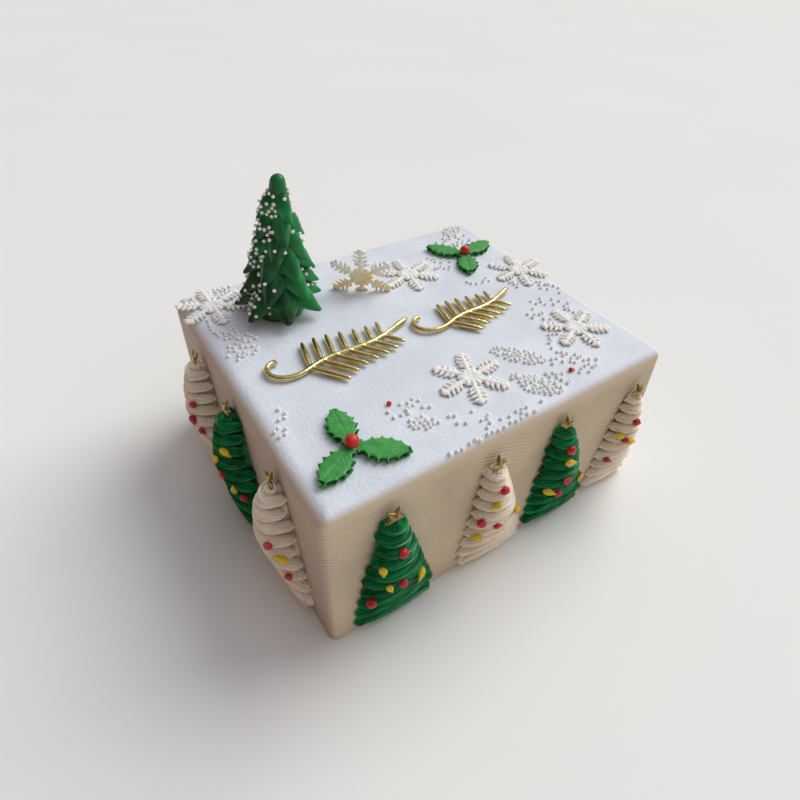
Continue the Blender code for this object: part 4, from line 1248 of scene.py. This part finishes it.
def petal(middle, angle, length, half_width, height):
    """A rounded petal lying on the plane z = 0, its middle and sizes in mm."""
    bpy.ops.mesh.primitive_uv_sphere_add(segments=16, ring_count=10, radius=1)
    made = named("petal")
    made.data.transform(Matrix.Diagonal((length / 2 * MM, half_width * MM, height / 2 * MM, 1)))
    place = Matrix.Translation((middle[0] * MM, middle[1] * MM, height / 2 * MM))
    made.data.transform(place @ turn_by(angle))
    return made


def flake_shape():
    """A moulded snowflake lying on z = 0: six feathered arms round a hub with petals."""
    arm = [petal((FLAKE_RIB_PLACE, 0), 0, *FLAKE_RIB), petal((FLAKE_TIP_PLACE, 0), 0, *FLAKE_TIP)]
    length, half_width, height = FLAKE_BARB
    for barb, spread in enumerate(FLAKE_BARB_SPREADS):
        out = FLAKE_BARB_START + FLAKE_BARB_PITCH * barb
        for side in (1, -1):
            arm.append(petal((out, spread * side), FLAKE_BARB_ANGLE * side, length + spread, half_width,
                             height))
    arm = joined("arm", arm)
    arms = [copy_of(arm, "arm", turn_by(360 / FLAKE_ARMS * i)) for i in range(FLAKE_ARMS)]
    discard(arm)
    hub = petal((0, 0), 0, *FLAKE_HUB)
    petals = []
    for i in range(2 * FLAKE_ARMS):
        turn = 180 / FLAKE_ARMS * i
        angle = math.radians(turn)
        reach = FLAKE_PETAL_PLACES[i % 2]
        petals.append(petal((reach * math.cos(angle), reach * math.sin(angle)), turn, *FLAKE_PETAL))
    flake = joined("flake", arms + [hub] + petals)
    fuse(flake, FLAKE_VOXEL)
    return flake


def flake_matrices():
    """Where the five lying flakes and the standing one go."""
    for x, y, turn in LYING_FLAKES:
        yield Matrix.Translation((x * MM, y * MM, CAKE_HEIGHT)) @ turn_by(turn)
    upright = turn_by(90 + STANDING_TILT, "X") @ Matrix.Translation((0, 0, -FLAKE_THICKNESS / 2))
    foot = Matrix.Translation((*(Vector(STANDING_FLAKE) * MM), TOP + STANDING_CENTRE))
    yield foot @ turn_by(STANDING_TURN) @ upright @ turn_by(90)


def cut_off_below(piece, height):
    """Cut off what is pushed in the icing, and close the cut."""
    select_only(piece)
    bpy.ops.object.mode_set(mode="EDIT")
    bpy.ops.mesh.select_all(action="SELECT")
    bpy.ops.mesh.bisect(plane_co=(0, 0, height), plane_no=(0, 0, 1), use_fill=True, clear_inner=True)
    bpy.ops.object.mode_set(mode="OBJECT")


def sprig_stem(x, y, turn, length, sway, pairs):
    """Middle line of a stem that sways once: points with headings, and whether leaves grow there."""
    turned = Matrix.Rotation(math.radians(turn), 2)
    line = []
    for step in range(2 * pairs + 2):
        share = step / (2 * pairs + 1)
        wave = 2 * math.pi * share
        point = turned @ Vector((length * share, sway * math.sin(wave))) * MM
        heading = math.radians(turn) + math.atan(sway * 2 * math.pi * math.cos(wave) / length)
        line.append((point + Vector((x, y)) * MM, heading, step % 2 == 1 and step < 2 * pairs))
    return line


def sprig_curl(start, heading):
    """The stem's end: it winds back from the start, each step turning more and going less far."""
    line = []
    point = start.copy()
    for step in range(SPRIG_CURL_STEPS):
        share = (step + 0.5) / SPRIG_CURL_STEPS
        heading -= math.radians(SPRIG_CURL) / SPRIG_CURL_STEPS * (0.5 + share)
        stride = SPRIG_CURL_LENGTH / SPRIG_CURL_STEPS * (1.25 - 0.5 * share)
        point -= Vector((math.cos(heading), math.sin(heading))) * stride
        line.append((point.copy(), heading, False))
    return line[::-1]


def sprig_strokes(sprig):
    """The strokes of a sprig: its stem, its leaves in pairs and its end leaf, as points with half widths."""
    x, y, turn, length, sway, leaf_length, pairs = sprig
    stem = sprig_stem(x, y, turn, length, sway, pairs)
    line = sprig_curl(stem[0][0], stem[0][1]) + stem
    yield [(point, SPRIG_STEM_HALF_WIDTH) for point, _, _ in line]
    for angle in SPRIG_LEAF_ANGLES:
        leaf = 0
        for point, heading, leafy in stem:
            if not leafy:
                continue
            shrink = SPRIG_LEAF_SHRINK * leaf / (pairs - 1)
            leaf += 1
            way = level_way(turn + angle)
            reach = leaf_length * MM * (1 - shrink) + SPRIG_STEM_HALF_WIDTH
            half = SPRIG_LEAF_HALF_WIDTH * (1 - SPRIG_LEAF_SLIMMING * shrink)
            yield [(point + way * reach * share, half * width) for share, width in SPRIG_LEAF_OUTLINE]
    end, heading, _ = stem[-1]
    reach = Vector((math.cos(heading), math.sin(heading))) * leaf_length * MM * SPRIG_END_LEAF
    yield [(end + reach * share, SPRIG_LEAF_HALF_WIDTH * width) for share, width in SPRIG_LEAF_OUTLINE]


def gold_sprig(name, sprig):
    """A gold sprig on the icing, its strokes rounded and higher than they are wide."""
    strokes = [[((*place, 0), half / MM) for place, half in stroke] for stroke in sprig_strokes(sprig)]
    piece = drawn(name, strokes, bevel_depth=MM, bevel_resolution=4)
    stretch = SPRIG_HEIGHT / 2 / SPRIG_LEAF_HALF_WIDTH
    reshape(piece, lambda point: Vector((point.x, point.y, TOP + SPRIG_HEIGHT / 2 + point.z * stretch)))
    fuse(piece, SPRIG_VOXEL)
    smooth(piece)
    return piece


def dress_cake():
    """The block, its pearls and sprinkles, and the standing tree."""
    dress(iced_block(), white_buttercream(), "white_icing", "cake")
    fir = standing_fir()
    dress(strewn_pearls(fir), pearl_sugar(), "sugar_paste", "cake", "standing_tree")
    dress(fir, fir_paste(), "fir_green", "standing_tree")


def dress_sides(red, yellow, bronze_and_painted_reflection):
    """Fourteen piped trees with their dots and stars."""
    cream = piped_cream()
    green = piped_green()
    opening = nozzle_opening()
    star = star_shape()
    draw = random.Random(PIPING_SEED)
    dots = {"ball": [], "drop": [], "dab": []}
    dotted = {"ball": [], "drop": [], "dab": []}
    number = 0
    for quarter, side in enumerate(("front", "right", "back", "left")):
        for i, tree in enumerate(FRONT_TREES if quarter % 2 == 0 else SIDE_TREES):
            name = f"tree_{side}_{i + 1}"
            piece = piped_tree("piped_" + name, tree, quarter, opening, draw)
            if number % 2 == 0:
                dress(piece, green, "piped_green", name)
            else:
                dress(piece, cream, "piped_cream", name)
            place = number % len(DOT_SETS)
            for u, height, colour, turn in DOT_SETS[place]:
                kind = "dab" if colour == "yellow" else "drop" if place else "ball"
                size = draw.uniform(*DOT_SIZES)
                dots[kind].append(dot_matrix(u, height, tree, quarter, turn, size))
                if name not in dotted[kind]:
                    dotted[kind].append(name)
            gold_star = copy_of(star, f"gold_star_{side}_{i + 1}",
                                star_matrix(tree, STAR_TURNS[place], quarter))
            cut_off_below(gold_star, tree[2] * MM)
            dress(gold_star, bronze_and_painted_reflection, "gold", f"star_{side}_{i + 1}")
            number += 1
    discard(opening)
    discard(star)
    for name, template, kind, finish, slot in (
            ("red_balls", sugar_ball(), "ball", red, "berry_red"),
            ("red_drops", sugar_dab("sugar_drop", *RED_DROP), "drop", red, "berry_red"),
            ("yellow_dabs", sugar_dab("sugar_dab", *YELLOW_DAB), "dab", yellow, "piped_cream")):
        dress(strewn(name, template, dots[kind]), finish, slot, *dotted[kind])


def dress_top(red, gold):
    """Holly, snowflakes, sprinkles and gold sprigs."""
    dress(strewn_sprinkles(), red, "berry_red", "cake")
    leaf_finish = holly_paste()
    for i, (centre, tips) in enumerate(HOLLY):
        for j, tip in enumerate(tips):
            node = f"holly_{i + 1}_leaf_{j + 1}"
            dress(holly_leaf("pressed_" + node, centre, tip), leaf_finish, "holly_green", node)
        node = f"holly_{i + 1}_berry"
        dress(holly_berry("rolled_" + node, centre), red, "berry_red", node)
    # Both finishes carry painted shade low down; the standing flake's is a warmer, more shaded copy of the
    # same paste
    lying_finish = moulded_paste("moulded sugar paste", "#E9DDBD", "#F7F8F2", TOP, TOP + 1.8 * MM)
    standing_finish = moulded_paste("moulded sugar paste, warmer painted shade", "#F3E2BE", "#FCF9F0", TOP + 8 * MM,
                                    TOP + 26 * MM)
    flake = flake_shape()
    nodes = [f"snowflake_{i + 1}" for i in range(len(LYING_FLAKES))] + ["snowflake_standing"]
    for node, place in zip(nodes, flake_matrices()):
        piece = copy_of(flake, "moulded_" + node, place)
        standing = node == "snowflake_standing"
        if standing:
            cut_off_below(piece, CAKE_HEIGHT)
        smooth(piece)
        dress(piece, standing_finish if standing else lying_finish, "sugar_paste", node)
    discard(flake)
    for i, sprig in enumerate(SPRIGS):
        node = f"gold_sprig_{i + 1}"
        dress(gold_sprig("moulded_" + node, sprig), gold, "gold", node)


def place_camera():
    """The camera at the photograph's angle, with its roll, focal length and off-centre frame."""
    azimuth = math.radians(CAMERA_AZIMUTH)
    elevation = math.radians(CAMERA_ELEVATION)
    roll = math.radians(CAMERA_ROLL)
    back = Vector((math.sin(azimuth) * math.cos(elevation), -math.cos(azimuth) * math.cos(elevation),
                   math.sin(elevation)))
    right = (-back).cross(Vector((0, 0, 1))).normalized()
    down = (-back).cross(right)
    across = right * math.cos(roll) - down * math.sin(roll)
    under = right * math.sin(roll) + down * math.cos(roll)
    camera = bpy.data.objects.new("camera", bpy.data.cameras.new("camera"))
    turned = Matrix((across, -under, back)).transposed().to_4x4()
    camera.matrix_world = Matrix.Translation(CAMERA_PLACE) @ turned
    camera.data.lens = FOCAL_PIXELS * camera.data.sensor_width / IMAGE_SIDE
    camera.data.shift_x = -(PRINCIPAL_POINT[0] - IMAGE_SIDE / 2) / IMAGE_SIDE
    camera.data.shift_y = (PRINCIPAL_POINT[1] - IMAGE_SIDE / 2) / IMAGE_SIDE
    camera.data.clip_start = CLIP_START
    bpy.context.scene.collection.objects.link(camera)
    bpy.context.scene.camera = camera


def studio():
    """A pale floor, a wide soft sun from the right and a sky that is cool above and warm low down."""
    bpy.ops.mesh.primitive_plane_add(size=FLOOR_SIZE, location=(0, 0, -FLOOR_GAP))
    floor = named("floor")
    floor.data.materials.append(plain_floor())
    floor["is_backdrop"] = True
    sun = bpy.data.lights.new("key", "SUN")
    sun.energy = SUN_STRENGTH
    sun.angle = math.radians(SUN_ANGLE)
    sun.color = linear(SUN_COLOUR)[:3]
    holder = bpy.data.objects.new("key", sun)
    holder.rotation_euler = Vector(SUN_FROM).to_track_quat("Z", "Y").to_euler()
    bpy.context.scene.collection.objects.link(holder)
    world = bpy.data.worlds.new("studio")
    world.use_nodes = True
    tree = world.node_tree
    way = add_node(tree, "ShaderNodeTexCoord").outputs["Generated"]
    up = add_node(tree, "ShaderNodeSeparateXYZ", {"Vector": way}).outputs["Z"]
    aside = add_node(tree, "ShaderNodeVectorMath", {0: way, 1: DIM_SIDE}, operation="DOT_PRODUCT")
    aside = aside.outputs["Value"]
    sky = turning(tree, linear(LOW_SKY), linear(HIGH_SKY), up, *LOW_BAND)
    sky = turning(tree, sky, linear(DIM_SKY), aside, *DIM_BAND)
    strength = add_node(tree, "ShaderNodeMapRange",
                        {"Value": aside, "From Min": FADE_BAND[0], "From Max": FADE_BAND[1],
                         "To Min": SKY_STRENGTH * BRIGHT_SHARE, "To Max": SKY_STRENGTH * DIM_SHARE},
                        interpolation_type="SMOOTHSTEP")
    light = add_node(tree, "ShaderNodeBackground", {"Color": sky, "Strength": strength.outputs[0]})
    backdrop = add_node(tree, "ShaderNodeBackground", {"Color": linear(BACKDROP)})
    seen = add_node(tree, "ShaderNodeLightPath").outputs["Is Camera Ray"]
    both = add_node(tree, "ShaderNodeMixShader", {0: seen, 1: light.outputs[0], 2: backdrop.outputs[0]})
    tree.links.new(both.outputs[0], tree.nodes["World Output"].inputs["Surface"])
    bpy.context.scene.world = world
    bpy.context.scene.view_settings.view_transform = "Standard"


place_camera()
dress_cake()
dress_sides(red_icing(), yellow_icing(), bronze_gold_and_painted_reflection())
dress_top(berry_paste(), gold_plastic())
studio()

boxes = {"cad": solid_box, "visual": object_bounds()}
{name: [list(corner) for corner in box] for name, box in boxes.items()}
